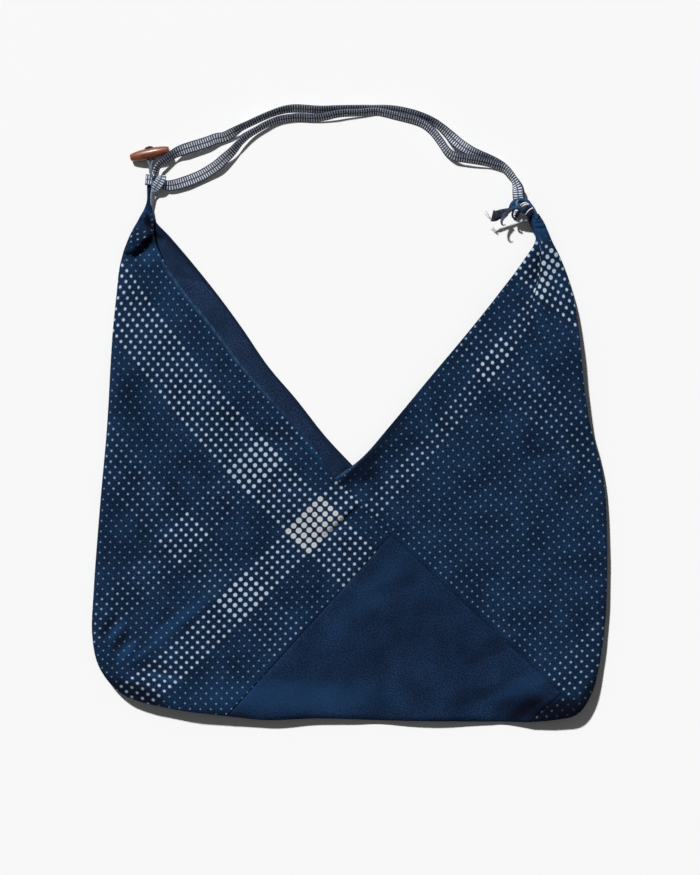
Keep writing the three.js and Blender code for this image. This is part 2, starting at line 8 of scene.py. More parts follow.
import bpy
import numpy as np
from mathutils import Euler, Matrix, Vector

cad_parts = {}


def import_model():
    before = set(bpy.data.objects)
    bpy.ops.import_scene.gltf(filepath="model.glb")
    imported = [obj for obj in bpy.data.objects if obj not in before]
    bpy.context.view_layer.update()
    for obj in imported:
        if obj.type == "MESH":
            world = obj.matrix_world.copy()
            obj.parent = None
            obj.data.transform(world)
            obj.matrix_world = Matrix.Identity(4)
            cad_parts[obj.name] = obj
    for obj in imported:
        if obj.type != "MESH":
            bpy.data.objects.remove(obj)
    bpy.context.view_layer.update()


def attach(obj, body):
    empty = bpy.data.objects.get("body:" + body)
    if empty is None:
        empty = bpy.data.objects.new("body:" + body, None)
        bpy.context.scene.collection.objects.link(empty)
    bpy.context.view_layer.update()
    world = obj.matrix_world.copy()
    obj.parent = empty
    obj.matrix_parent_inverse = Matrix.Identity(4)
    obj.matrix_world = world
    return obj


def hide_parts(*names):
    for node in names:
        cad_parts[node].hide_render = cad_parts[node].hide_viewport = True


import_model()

MM = 0.001
CENTRE = np.array([0.34, -2.75])  # where the tables' origin lies in the frame

# The photograph: straight down, its middle over this place of the tables, one pixel a millimetre.
VIEW_CENTRE = np.array([0.0, -22.5])
VIEW_HEIGHT = 2200.0
VIEW_SPAN = 875.0
VIEW_PLANE = 5.0  # height at which a millimetre fills a pixel
SENSOR = 36.0

# Light
SUN_FROM = (-0.5, 0.9, 1.0)
SUN_ENERGY = 4.78
SUN_ANGLE = 3.5
ROOM_LIGHT = 0.11
FLOOR_COLOR = (0.8, 0.8, 0.8, 1)
FLOOR_HALF = 6000

# Cloth
CLOTH = 0.9  # thickness of the cotton
DOT_PITCH = 7.2  # millimetres of cloth in one count of its coordinates, taken for the finishes
THREAD_PITCH = 0.9
THREADS = 2 * math.pi * DOT_PITCH / THREAD_PITCH  # radians of the thread wave in one count
HEM = 1.5  # thickness of the turned mouth hem
HEM_WIDTH = 7.0
SEAM_GAP = 0.05
SEAM_DIP = 0.6
SEAM_DIP_HALF = 1.8
FOLD_DEPTH = 9.0  # how far in from the outline the cloth rounds over
FRONT_HEIGHT = 9.6  # middle of the front layer above the surface
BACK_HEIGHT = 0.8
SHUT_GAP = 0.9  # between the two layers where a horn closes
HALF_REACH = 0.45  # share of a section's front that a fold or a closing horn may take up
SEAM_STEP = 0.02  # how far in from a seam row, in rows, its direction is read

# Grid of each panel
FRONT_COLUMNS = 98
FOLD_COLUMNS = 10
BACK_COLUMNS = 26
ROW_STEP = 2.7
HORN_ROW_STEP = 1.35
HORN_SECTIONS = 4  # sections that belong to a horn
EDGE_CROWDING = 1.25  # above 1, the columns stand closer near the front edge
LEAST_ROWS = 3  # between two sections

# How far seams and the painted shade of sharp folds reach, and the broad waves of the front
FAR = 999.0
SHARP_REACH = 8.0
SEAM_RIPPLE = 0.35
SEAM_RIPPLE_HALF = 5.0
UNEVEN_SEED = 7
UNEVEN_WAVES = 14
UNEVEN_LENGTHS = (26, 110)
UNEVEN_SHARE = 0.004  # a wave's height as a share of its length

# Cloth coordinates: where one dot lies and the steps to the next dot along and across the cloth. A bow
# tells how many dots one way's lines are bent by, at counts of the other way. Shifts are places where
# the cloth is drawn to one side, by so many dots.
LEFT_CLOTH = {
    "dot": (-26.8, -120.7),
    "along": (-4.74, 5.15),
    "across": (-5.29, -5.35),
    "bent": "across",
    "bow": [
        (-8, -0.6), (0, -0.3), (6, 0.1), (12, 0.3), (18, 0.36), (24, 0.3), (30, 0), (36, -0.45), (50, -1.45),
    ],
    "shifts": [
        {"at": (-245, -285), "radius": 60, "dots": (-1.6, 1.1)},
        {"at": (-226, 138), "radius": 27, "dots": (0.5, 0.5)},
    ],
}
RIGHT_CLOTH = {
    "dot": (79.9, -4.0),
    "along": (5.28, -4.82),
    "across": (4.74, 5.95),
    "bent": "along",
    "bow": [
        (-21, -0.7), (-12, -0.36), (-7, 0.02), (-2, 0.25), (3, 0.22), (8, 0.04), (12, -0.13), (17, -0.36),
        (27, -1),
    ],
    "shifts": [
        {"at": (235, 125), "radius": 45, "dots": (1.25, 0)},
        {"at": (170, 200), "radius": 70, "dots": (0, 0.6)},
        {"at": (205, -305), "radius": 50, "dots": (0.85, 0.55)},
    ],
}
BASE_CLOTH = {**LEFT_CLOTH, "shifts": []}

# The gather below the right horn: its line from bottom to top, as Y and X, how softly the cloth passes
# over it at each Y, and how the dots on its left and right are drawn towards it.
GATHER_LINE = [(50, 166), (90, 176), (116, 182.6), (121, 185.2), (136, 189.2), (148, 190), (170, 190)]
GATHER_SOFTNESS = [(60, 14), (100, 8), (118, 1.2), (150, 0.8)]
GATHER_LEFT = {"at": (172, 152), "radius": 46, "dots": (-0.6, 0)}
GATHER_RIGHT = {"at": (206, 174), "radius": 50, "dots": (1.15, 0.6)}

# The horn's folded flap shows another part of the cloth: its own dot and steps, and that dot's counts.
FLAP = {"dot": (-218.3, 177.9), "along": (6.85, 2.2), "across": (0.2, -5.4), "counts": (9, 15)}

# Spacing of the dots each way, for their sizes
ALONG_PITCH = 7.0
ACROSS_PITCH = 7.3

# Cloth as cut, in metres, width and length: each length is folded round its side of the bag.
LEFT_CUT = (0.36, 0.45)
RIGHT_CUT = (0.36, 0.41)
BASE_CUT = (0.36, 0.22)

# Small stitches along the inner edge of the mouth hems
STITCH_LENGTH = 2.2
STITCH_SPACING = 4.6
STITCH_THICK = 0.4
HEM_STITCH_DEPTH = 5.0

# Dot sizes: a dot's diameter is the share of its line along the cloth times that of its line across.
SMALL_SHARE = 1.2
MIDDLE_SHARE = 1.68
FAIR_SHARE = 1.95
BROAD_SHARE = 2.3
BOLD_SHARE = 2.32
PALE_FROM = (1.4, 3.2)  # diameters between which a dot turns from blue to white
RINGED_FROM = (3.7, 4.0)  # and from which it has a dark heart
BOLD_FROM = (4.9, 5.2)  # and from which it has the boldest dots' white
HEART_SHARE = 0.22
HALF_SHARES = (0.46, 0.53)  # radius over diameter, uneven from dot to dot
DOT_DIMMING = 0.6  # how far painted shade darkens the dots, as a share of what it does to the ground


def lines(first, last, share):
    return {"first": first, "last": last, "share": share}


LEFT_RULES = {
    "along": [lines(0, 4, BOLD_SHARE), lines(12, 16, MIDDLE_SHARE)],
    "across": [lines(-3, 3, BOLD_SHARE), lines(11, 16, MIDDLE_SHARE)],
}
RIGHT_RULES = {
    "along": [lines(1, 3, FAIR_SHARE), lines(36, 40, MIDDLE_SHARE)],
    "across": [lines(9, 14, MIDDLE_SHARE), lines(22, 28, BROAD_SHARE)],
}

# At section numbers: how worn the mouth's front edge is, or on the right how strong its painted highlight is,
# and how wide the rim of painted shade behind it is.
LEFT_WEAR = [(0, 0), (3.2, 0), (4.2, 0.25), (5, 0.5), (6.5, 0.5), (8, 0.32), (9, 0.08), (9.6, 0)]
# The rim is painted shade on the inner face along the mouth.
LEFT_RIM_SHADE = [(0, 0), (2.5, 5), (4, 4), (6, 2.4), (8, 3.2), (9, 5.5), (10, 6.5)]
# On the right the pale line is a painted highlight along the lit fold near the mouth's corner.
RIGHT_PAINTED_HIGHLIGHT = [(0, 0), (7, 0), (8, 0.3), (8.5, 0.9), (9, 0.5), (9.1, 0)]
NO_RIM = [(0, 0), (1, 0)]

# Tape
TAPE_WIDTH = 11.0
TAPE_THICKNESS = 1.3
TAPE_STEP = 1.3
TAPE_TURN_STEPS = 8
DASH_PITCH = 2.4
DASH_OUTER = 4.5  # the two columns of dashes lie between these distances from the middle
DASH_INNER = 0.5
WORN_DASH = 0.62  # a worn dash's share of a fresh one's light

# Threads, cords and knots
LIGHTEST = 1.7  # a cord's colour varies between these shares of it
DARKEST = 0.6
CORD_STEP = 0.4
CORD_PLIES = (3, 0.12, 0.4)  # their count, depth and turns a millimetre
KNOT_STEP = 0.35


# Section tables: the front edge, the outline and the back edge, then the heights of the middle of the
# cloth in front and behind, and how far the two edges close on each other.

def section(front, fold, back, top=FRONT_HEIGHT, under=BACK_HEIGHT, shut=0.0):
    return {"front": front, "fold": fold, "back": back, "top": top, "under": under, "shut": shut}


LEFT_SECTIONS = [
    section((-199.8, 230), (-202.4, 230.6), (-199.8, 230), top=5.6, under=2.4, shut=1),
    section((-199.4, 211), (-203, 212), (-199.4, 211), top=5.4, under=1.4, shut=1),
    section((-197, 195), (-211, 196), (-196.2, 195.5), top=6.8, under=1.2, shut=1),
    section((-196, 177), (-220.5, 177), (-180, 177.5), top=8.6, under=1, shut=0.8),
    section((-185.6, 152.4), (-229, 153), (-158, 152), top=9, shut=0.6),
    section((-164, 121), (-233, 121), (-133, 121), shut=0.3),
    section((-136, 87), (-236.5, 87), (-108, 87)),
    section((-108.5, 50.5), (-239, 49), (-82, 49)),
    section((-80, 18), (-241, 11), (-54, 16)),
    section((-47, -18), (-243.5, -25), (-24, -22)),
    section((-15, -63), (-247, -63), (5, -53)),
    section((2, -80.3), (-251.5, -115), (-28, -85.8)),
    section((18, -96.6), (-255.5, -170), (-65, -122.6)),
    section((30, -108.8), (-257, -222), (-115, -172.4)),
    section((36, -114.9), (-249.4, -252.6), (-158, -215.1)),
    section((39, -118), (-226, -278.2), (-184.8, -241.8)),
    section((40.3, -119.3), (-176, -292.6), (-185.8, -242.8)),
    section((41, -120), (-122, -300), (-186, -243)),
]
RIGHT_SECTIONS = [
    section((181, 199), (188, 200.4), (181, 199), top=14, under=5.5, shut=1),
    section((182.6, 188), (194.2, 190.6), (183, 188), top=13, under=3.4, shut=1),
    section((186, 175), (200.8, 175), (187.4, 174.5), top=11, under=1.4, shut=0.8),
    section((173, 153), (211.5, 153), (177, 152), top=9.8, shut=0.4),
    section((144, 115), (223, 115), (148, 114), shut=0.1),
    section((109, 72), (229, 70), (113, 71)),
    section((76.5, 33.4), (233, 27), (80.5, 32)),
    section((41, -9.5), (240, -13), (45, -11)),
    section((12, -42.5), (248, -41), (16, -45)),
    section((-15, -63), (253.5, -69), (5, -53)),
    section((8, -86.4), (256, -110), (-1, -59)),
    section((41, -120), (256.3, -155), (-7, -65)),
    section((86, -161.8), (255, -197), (-14, -71.9)),
    section((132, -204.5), (250, -240), (-20, -77.9)),
    section((178, -247.3), (241, -276), (-25, -82.8)),
    section((209, -276.1), (226, -298), (-28, -85.8)),
    section((209.8, -276.8), (203, -304), (-29.3, -87.1)),
    section((210, -277), (179, -306.5), (-30, -87.8)),
]
BASE_SECTIONS = [
    section((41, -120), (-122, -300), (-186, -243)),
    section((75, -151.6), (-86, -304), (-155, -212.2)),
    section((109, -183.2), (-30, -302.8), (-124, -181.3)),
    section((143, -214.8), (36, -305), (-92.5, -150)),
    section((177, -246.3), (110, -306), (-61, -118.7)),
    section((210, -277), (179, -306.5), (-30, -87.8)),
]


def crease(name, start, end, half, rise):
    """A soft fold of the front layer: a ridge where rise is over 0, a trough where it is under 0."""
    return {"name": name, "start": start, "end": end, "half": half, "rise": rise}


CREASES = [
    crease("tuck below the mouth", (14, -90), (-30, -128), 5, -1.6),
    crease("roll beside the tuck", (4, -82), (-38, -118), 8, 1.6),
    crease("hollow under the left horn's fold", (-225, 151), (-192, 172), 6, -2),
    crease("upper side pucker", (-236, -200), (-248, -226), 6, -2),
    crease("lower side pucker", (-222, -213), (-240, -238), 6, -2),
    crease("pinch at the corner", (-218, -249), (-178, -270), 6, -2.4),
    crease("roll under the pinch", (-222, -262), (-182, -282), 7, 2),
    crease("left panel hollow", (-224, -147), (-160, -127), 15, -2),
    crease("left side roll", (-224, 90), (-236, -60), 14, 1.6),
    crease("right panel hollow", (52, -31), (88, -27), 13, -2),
    crease("right side hollow", (172, -32), (206, -44), 13, -1.6),
    crease("right side roll", (208, 90), (240, -70), 17, 2),
    crease("base hollow", (2, -187), (80, -156), 15, -2),
    crease("base cross hollow", (110, -241), (148, -225), 12, -1.8),
    crease("base roll", (72, -278), (124, -238), 20, 1.6),
    crease("fold at the lower right", (146, -302), (194, -282), 9, -2.6),
    crease("left gather of the right horn", (190, 168), (178, 112), 5, -1.4),
    crease("right gather of the right horn", (203, 162), (212, 90), 7, -1.4),
    crease("gather of the right horn", (190.5, 160), (181, 106), 2.6, -2.2),
    crease("first wrinkle of the neck", (180, 196), (194, 194.6), 1.3, -1.6),
    crease("second wrinkle of the neck", (181, 191.6), (197, 190.4), 1.3, -1.6),
    crease("third wrinkle of the neck", (182, 186.6), (199, 184.8), 1.5, -1.6),
]


def overlap(name, start, end, rise, back, drop=1.6, blunt=6, lean=0.0):
    """Cloth folded over: it stands up on the left of the line from start to end and drops off on its right."""
    return {
        "name": name, "start": start, "end": end, "rise": rise, "back": back, "drop": drop, "blunt": blunt,
        "lean": lean,
    }


OVERLAPS = [
    overlap("left horn folded over", (-230, 151), (-197, 183), 5.4, 15, lean=0.6),
    overlap("tuck below the mouth", (-26, -120), (10, -85), 1.3, 7, drop=1.2),
]


def sharp(name, points, share):
    """The sharp bottom of a fold, with how dark its painted shade is."""
    return {"name": name, "points": points, "share": share}


# Lines of painted shade along the bottoms of sharp folds.
SHARP_FOLDS = [
    sharp("tuck below the mouth", [(9.6, -88), (-4, -101), (-10, -108)], 1.0),
    sharp("beside the left strand", [(-202.5, 200), (-200, 193), (-197.6, 184), (-195.6, 177)], 1.0),
    sharp("gather of the right horn", [(190.5, 155), (189.6, 139), (186.5, 126), (181.5, 112)], 0.75),
    sharp("fold of the base's end", [(192, -283), (181, -290), (171, -296), (160, -303)], 1.0),
    sharp("small fold of the left horn", [(-199, 120), (-204, 110), (-211, 100)], 0.7),
]


def hollow(name, at, radius, turn=0, dark=0.0, bare=0.0, painted_light=0.0, inside=False):
    """A place of painted shade or painted light: how dark or pale the cloth is painted there, and how far its
    dots fade in that shade or where the cloth gathers them away.
    """
    return {
        "name": name, "at": at, "radius": radius, "turn": turn, "dark": dark, "bare": bare, "painted_light": painted_light,
        "inside": inside,
    }


# Painted shade in hollows, troughs, under folds and along turned edges, painted light on ridges and lit folds,
# and places where the dots fade.
PAINTED_SHADE_AND_LIGHT = [
    hollow("along the right mouth", (15, -48), (30, 7), 43, dark=0.75, bare=0.85),
    hollow("under the left flap", (-201, 173), (6, 4), 30, dark=0.9),
    hollow("light over the left panel", (-190, 90), (60, 60), painted_light=0.08),
    hollow("under the mouth's corner", (18, -59), (13, 6), 30, dark=0.7, bare=0.8),
    hollow("right mouth hem", (38, -16), (26, 8), 50, dark=0.55, bare=0.85),
    hollow("below the lit fold", (-1, -64), (13, 2.6), 24, dark=0.85, bare=0.6),
    hollow("left strand", (-201, 214), (16, 26), bare=1.0),
    hollow("deep hollow of the left horn", (-202.4, 194), (3.4, 8), 14, dark=1.0, bare=1.0),
    hollow("upper flap", (-206, 191), (15, 10), bare=1.0),
    hollow("lower flap", (-222, 165), (12, 6), 40, bare=0.8),
    hollow("right neck", (188, 186), (14, 14), bare=1.0),
    hollow("light on the right neck", (188, 188), (12, 17), painted_light=0.45),
    hollow("edge of the right mouth", (8, -47), (19, 3), 34, dark=0.55),
    hollow("rim of the right mouth", (6, -48), (26, 6), 35, dark=0.72, inside=True),
    hollow("light on the fold of the mouth", (-5, -57), (8, 1.5), 34, painted_light=0.25),
    hollow("light beside the left neck", (-208, 204), (6, 11), 60, painted_light=0.4),
    hollow("light below the left flap", (-197, 160), (14, 9), 40, painted_light=0.28),
    hollow("light beside the band's foot", (-38, -29), (24, 7), -55, painted_light=0.25),
    hollow("light beside the tuck", (12, -80), (9, 12), painted_light=0.12),
    hollow("top of the band", (-190, 184), (8, 9), -40, dark=1.0, inside=True),
    hollow("foot of the band", (-14, -38), (34, 16), -48, dark=0.3, inside=True),
    hollow("lower right edge", (206, -294), (42, 13), 8, dark=1.0, bare=0.55),
    hollow("lower right turn", (239, -276), (34, 8), 55, dark=0.85),
    hollow("fold of the base's end", (176, -293), (25, 9), 33, dark=1.0),
    hollow("streak on the base", (141, -227.5), (14, 5), 30, dark=0.4),
    hollow("band across the base", (42, -171.5), (36, 7), 21, dark=0.3),
    hollow("low trough of the base", (113, -280), (14, 8), dark=0.3),
    hollow("trough of the left panel", (-192, -137), (30, 7), 15, dark=0.3),
    hollow("trough below the right mouth", (70, -29), (15, 5), dark=0.35),
    hollow("trough of the right panel", (187, -38), (14, 6), dark=0.3),
    hollow("upper trough at the left side", (-240, -209), (14, 4.2), 56, dark=0.75, bare=0.2),
    hollow("lower trough at the left side", (-229, -226), (15, 4.2), 50, dark=0.8, bare=0.2),
    hollow("ridge between those troughs", (-233, -216), (13, 3.5), 53, painted_light=0.4),
    hollow("ridge below those troughs", (-222, -235), (15, 4.5), 48, painted_light=0.45),
    hollow("long light ridge", (-168, -202), (48, 7), 37, painted_light=0.26),
    hollow("trough beside the long ridge", (-174, -217), (42, 4), 37, dark=0.3),
    hollow("second light ridge", (-194, -228), (34, 5), 35, painted_light=0.3),
    hollow("trough above the pinch", (-196, -249), (22, 4), -4, dark=0.4),
    hollow("light on the pinch", (-186, -261), (18, 3), -15, painted_light=0.5),
    hollow("lower left edge", (-214, -275), (34, 8), -22, dark=0.85),
    hollow("light above the bottom edge", (-60, -280), (90, 16), painted_light=0.3),
    hollow("middle of the base", (60, -214), (60, 30), 20, dark=0.22),
    hollow("fold across the base's right", (140, -236), (34, 5), 24, dark=0.35),
    hollow("fold above the bottom edge", (128, -279), (30, 6), 18, dark=0.3),
    hollow("light beside the end of the base", (170, -270), (30, 9), 24, painted_light=0.25),
    hollow("light near the left panel's seam", (30, -170), (60, 14), 45, painted_light=0.15),
]

# Places where the whole bag stands up from the surface.
LIFTS = [
    {"name": "lower right corner", "at": (244, -280), "radius": 62, "top": 9, "under": 9},
    {"name": "right side above", "at": (226, 60), "radius": 80, "top": 6, "under": 13},
    {"name": "right side", "at": (254, -140), "radius": 80, "top": 3, "under": 4.5},
    {"name": "lower left corner", "at": (-205, -280), "radius": 58, "top": 6, "under": 9},
    {"name": "lower edge on the left", "at": (-150, -300), "radius": 48, "top": 5, "under": 6.5},
    {"name": "lower edge", "at": (-70, -306), "radius": 60, "top": 3, "under": 3.5},
]


def place(at, tilt=0.0, width=TAPE_WIDTH, thick=TAPE_THICKNESS):
    return {"at": at, "tilt": tilt, "width": width, "thick": thick}


# The strap's two runs, from the left knot to the right one.
UPPER_RUN = [
    place((-194.4, 240.4, 7.6), tilt=40, width=7.6),
    place((-192.4, 247, 8), tilt=56, width=8.6),
    place((-186.8, 253, 8.2), tilt=56, width=10),
    place((-180, 258.2, 7.8), tilt=48),
    place((-172.6, 262.6, 7), tilt=34, width=11.4),
    place((-164.5, 265.8, 6.2), tilt=14, width=11.6),
    place((-143, 272.7, 5.2), tilt=12, width=11.4),
    place((-134, 276.4, 4.6), tilt=18),
    place((-126, 278.1, 4.2), tilt=28),
    place((-118, 281.9, 5.2), tilt=33),
    place((-110, 286.7, 6.4), tilt=51, width=10),
    place((-102, 290.6, 6.4), tilt=56, width=9.8),
    place((-86, 298.1, 6), tilt=55, width=9.6),
    place((-78, 301.4, 5.8), tilt=54, width=9.6),
    place((-70, 304.1, 5.6), tilt=50, width=9.8),
    place((-62, 305.9, 5.4), tilt=46, width=10),
    place((-54, 306.5, 5.4), tilt=43, width=10),
    place((-46, 306.2, 5.4), tilt=45, width=10),
    place((-30, 305.2, 5.6), tilt=47, width=10),
    place((-14, 305.6, 5.8), tilt=47, width=10),
    place((2, 306, 5.6), tilt=48, width=10),
    place((24, 306.2, 5.3), tilt=48, width=9.6),
    place((38, 305.9, 5.4), tilt=47, width=10),
    place((50, 304.3, 5.8), tilt=47, width=10.4),
    place((66, 300.3, 6), tilt=50),
    place((82, 294.3, 5.6), tilt=60),
    place((90, 288.9, 5.4), tilt=56),
    place((98, 281.7, 5.6), tilt=44),
    place((106, 273.5, 6.8), tilt=9),
    place((114, 267.3, 7.8), tilt=12),
    place((122, 263.1, 8), tilt=38),
    place((130, 259.9, 8.2), tilt=51),
    place((138, 256.8, 8), tilt=56),
    place((146, 253, 7.4), tilt=57),
    place((154, 248.4, 6.6), tilt=57, width=9.4),
    place((160, 242.1, 6.2), tilt=58, width=9.4),
    place((164, 236.1, 6.1), tilt=58, width=9.4),
    place((166.8, 230.4, 6.6), tilt=46),
    place((168.4, 225, 7.6), tilt=10),
    place((169.2, 219, 8.2)),
    place((169.4, 214, 8.6)),
]
LOWER_RUN = [
    place((-188, 230.8, 5.6), tilt=24, width=9.4),
    place((-180, 229.4, 5), tilt=20),
    place((-164.3, 233.4, 3.8), tilt=8, width=11.6),
    place((-148, 240.2, 3.4), tilt=6, width=11.4),
    place((-133, 249.4, 6), tilt=14),
    place((-126, 255.6, 6.8), tilt=24),
    place((-118, 263, 7.2), tilt=40, width=10.6),
    place((-110, 272.2, 7.1), tilt=53, width=9.8),
    place((-102, 279.6, 6.3), tilt=55, width=9.6),
    place((-94, 284.8, 5.3), tilt=56, width=9.6),
    place((-86, 289.4, 5), tilt=56, width=9.6),
    place((-78, 293.2, 4.4), tilt=54, width=9.6),
    place((-70, 295.8, 4.2), tilt=52, width=10),
    place((-54, 297.6, 4.2), tilt=48, width=10.4),
    place((-38, 297.2, 4.4), tilt=48, width=10.4),
    place((-30, 297.6, 4.8), tilt=48, width=10.2),
    place((-22, 298.9, 5.6), tilt=48, width=10),
    place((-14, 300.7, 6.5), tilt=49, width=10),
    place((-6, 301.7, 6.1), tilt=48, width=9.6),
    place((10, 302.5, 4.6), tilt=48, width=9.6),
    place((26, 304, 3.9), tilt=48, width=9.4),
    place((34, 302.7, 4), tilt=48, width=9.8),
    place((42, 300.8, 4.2), tilt=48, width=10),
    place((50, 298.8, 4.4), tilt=50, width=10.4),
    place((66, 294.6, 4.6), tilt=50),
    place((74, 290.9, 5), tilt=54),
    place((82, 284.4, 5.8), tilt=57),
    place((90, 274.2, 6.2), tilt=56),
    place((98, 263, 6.8), tilt=54),
    place((106, 257.8, 7.8), tilt=46),
    place((114, 256.4, 8), tilt=46),
    place((122, 255.1, 7.8), tilt=47),
    place((130, 253.9, 7.2), tilt=47),
    place((138, 252.3, 6.1), tilt=50),
    place((146, 249.8, 5.6), tilt=54),
    place((154, 246.7, 6), tilt=57, width=9.4),
    place((159.4, 241.3, 7), tilt=58, width=9.4),
    place((163.4, 236.3, 7.9), tilt=58, width=9.4),
    place((166.2, 229.8, 8.8), tilt=46),
    place((167.4, 224.6, 10.2), tilt=10),
    place((167.6, 219, 11)),
    place((168.2, 214, 11.4)),
]

# The left knot: the upper run wraps over the lower one and goes on to the horn's tip.
TAPE_WRAP = [
    place((-195.8, 224.4, 5.4), tilt=10, width=7, thick=2),
    place((-193.4, 228, 7.6), tilt=0, width=10),
    place((-190.2, 233, 8.4), tilt=-6, width=11.4),
    place((-188.2, 237.2, 7.4), tilt=-10, width=9.6),
    place((-188, 239.4, 5.8), tilt=-10, width=8),
]
TAPE_STUB = [
    place((-187, 230.2, 5), tilt=10, width=9.6),
    place((-193, 233, 5.2), tilt=6, width=9.6),
    place((-199, 234.6, 6.6), tilt=12, width=10.6),
    place((-204.4, 235.2, 7), tilt=16, width=12),
]
TAPE_LOOP = [
    place((-199, 205, 3.2), tilt=60, width=5, thick=1.8),
    place((-198.2, 211, 3.6), tilt=50, width=5, thick=1.8),
    place((-197.4, 218, 4.4), tilt=46, width=5.4, thick=1.8),
    place((-195.6, 224.4, 6.6), tilt=30, width=6.4, thick=1.8),
]


def strand(name, kind, rows, folds=(0, 0.0, 0.0), node=None):
    """A strand of the right knot, with its finish and the solid that it takes the place of."""
    return {"name": name, "kind": kind, "rows": rows, "folds": folds, "node": node}


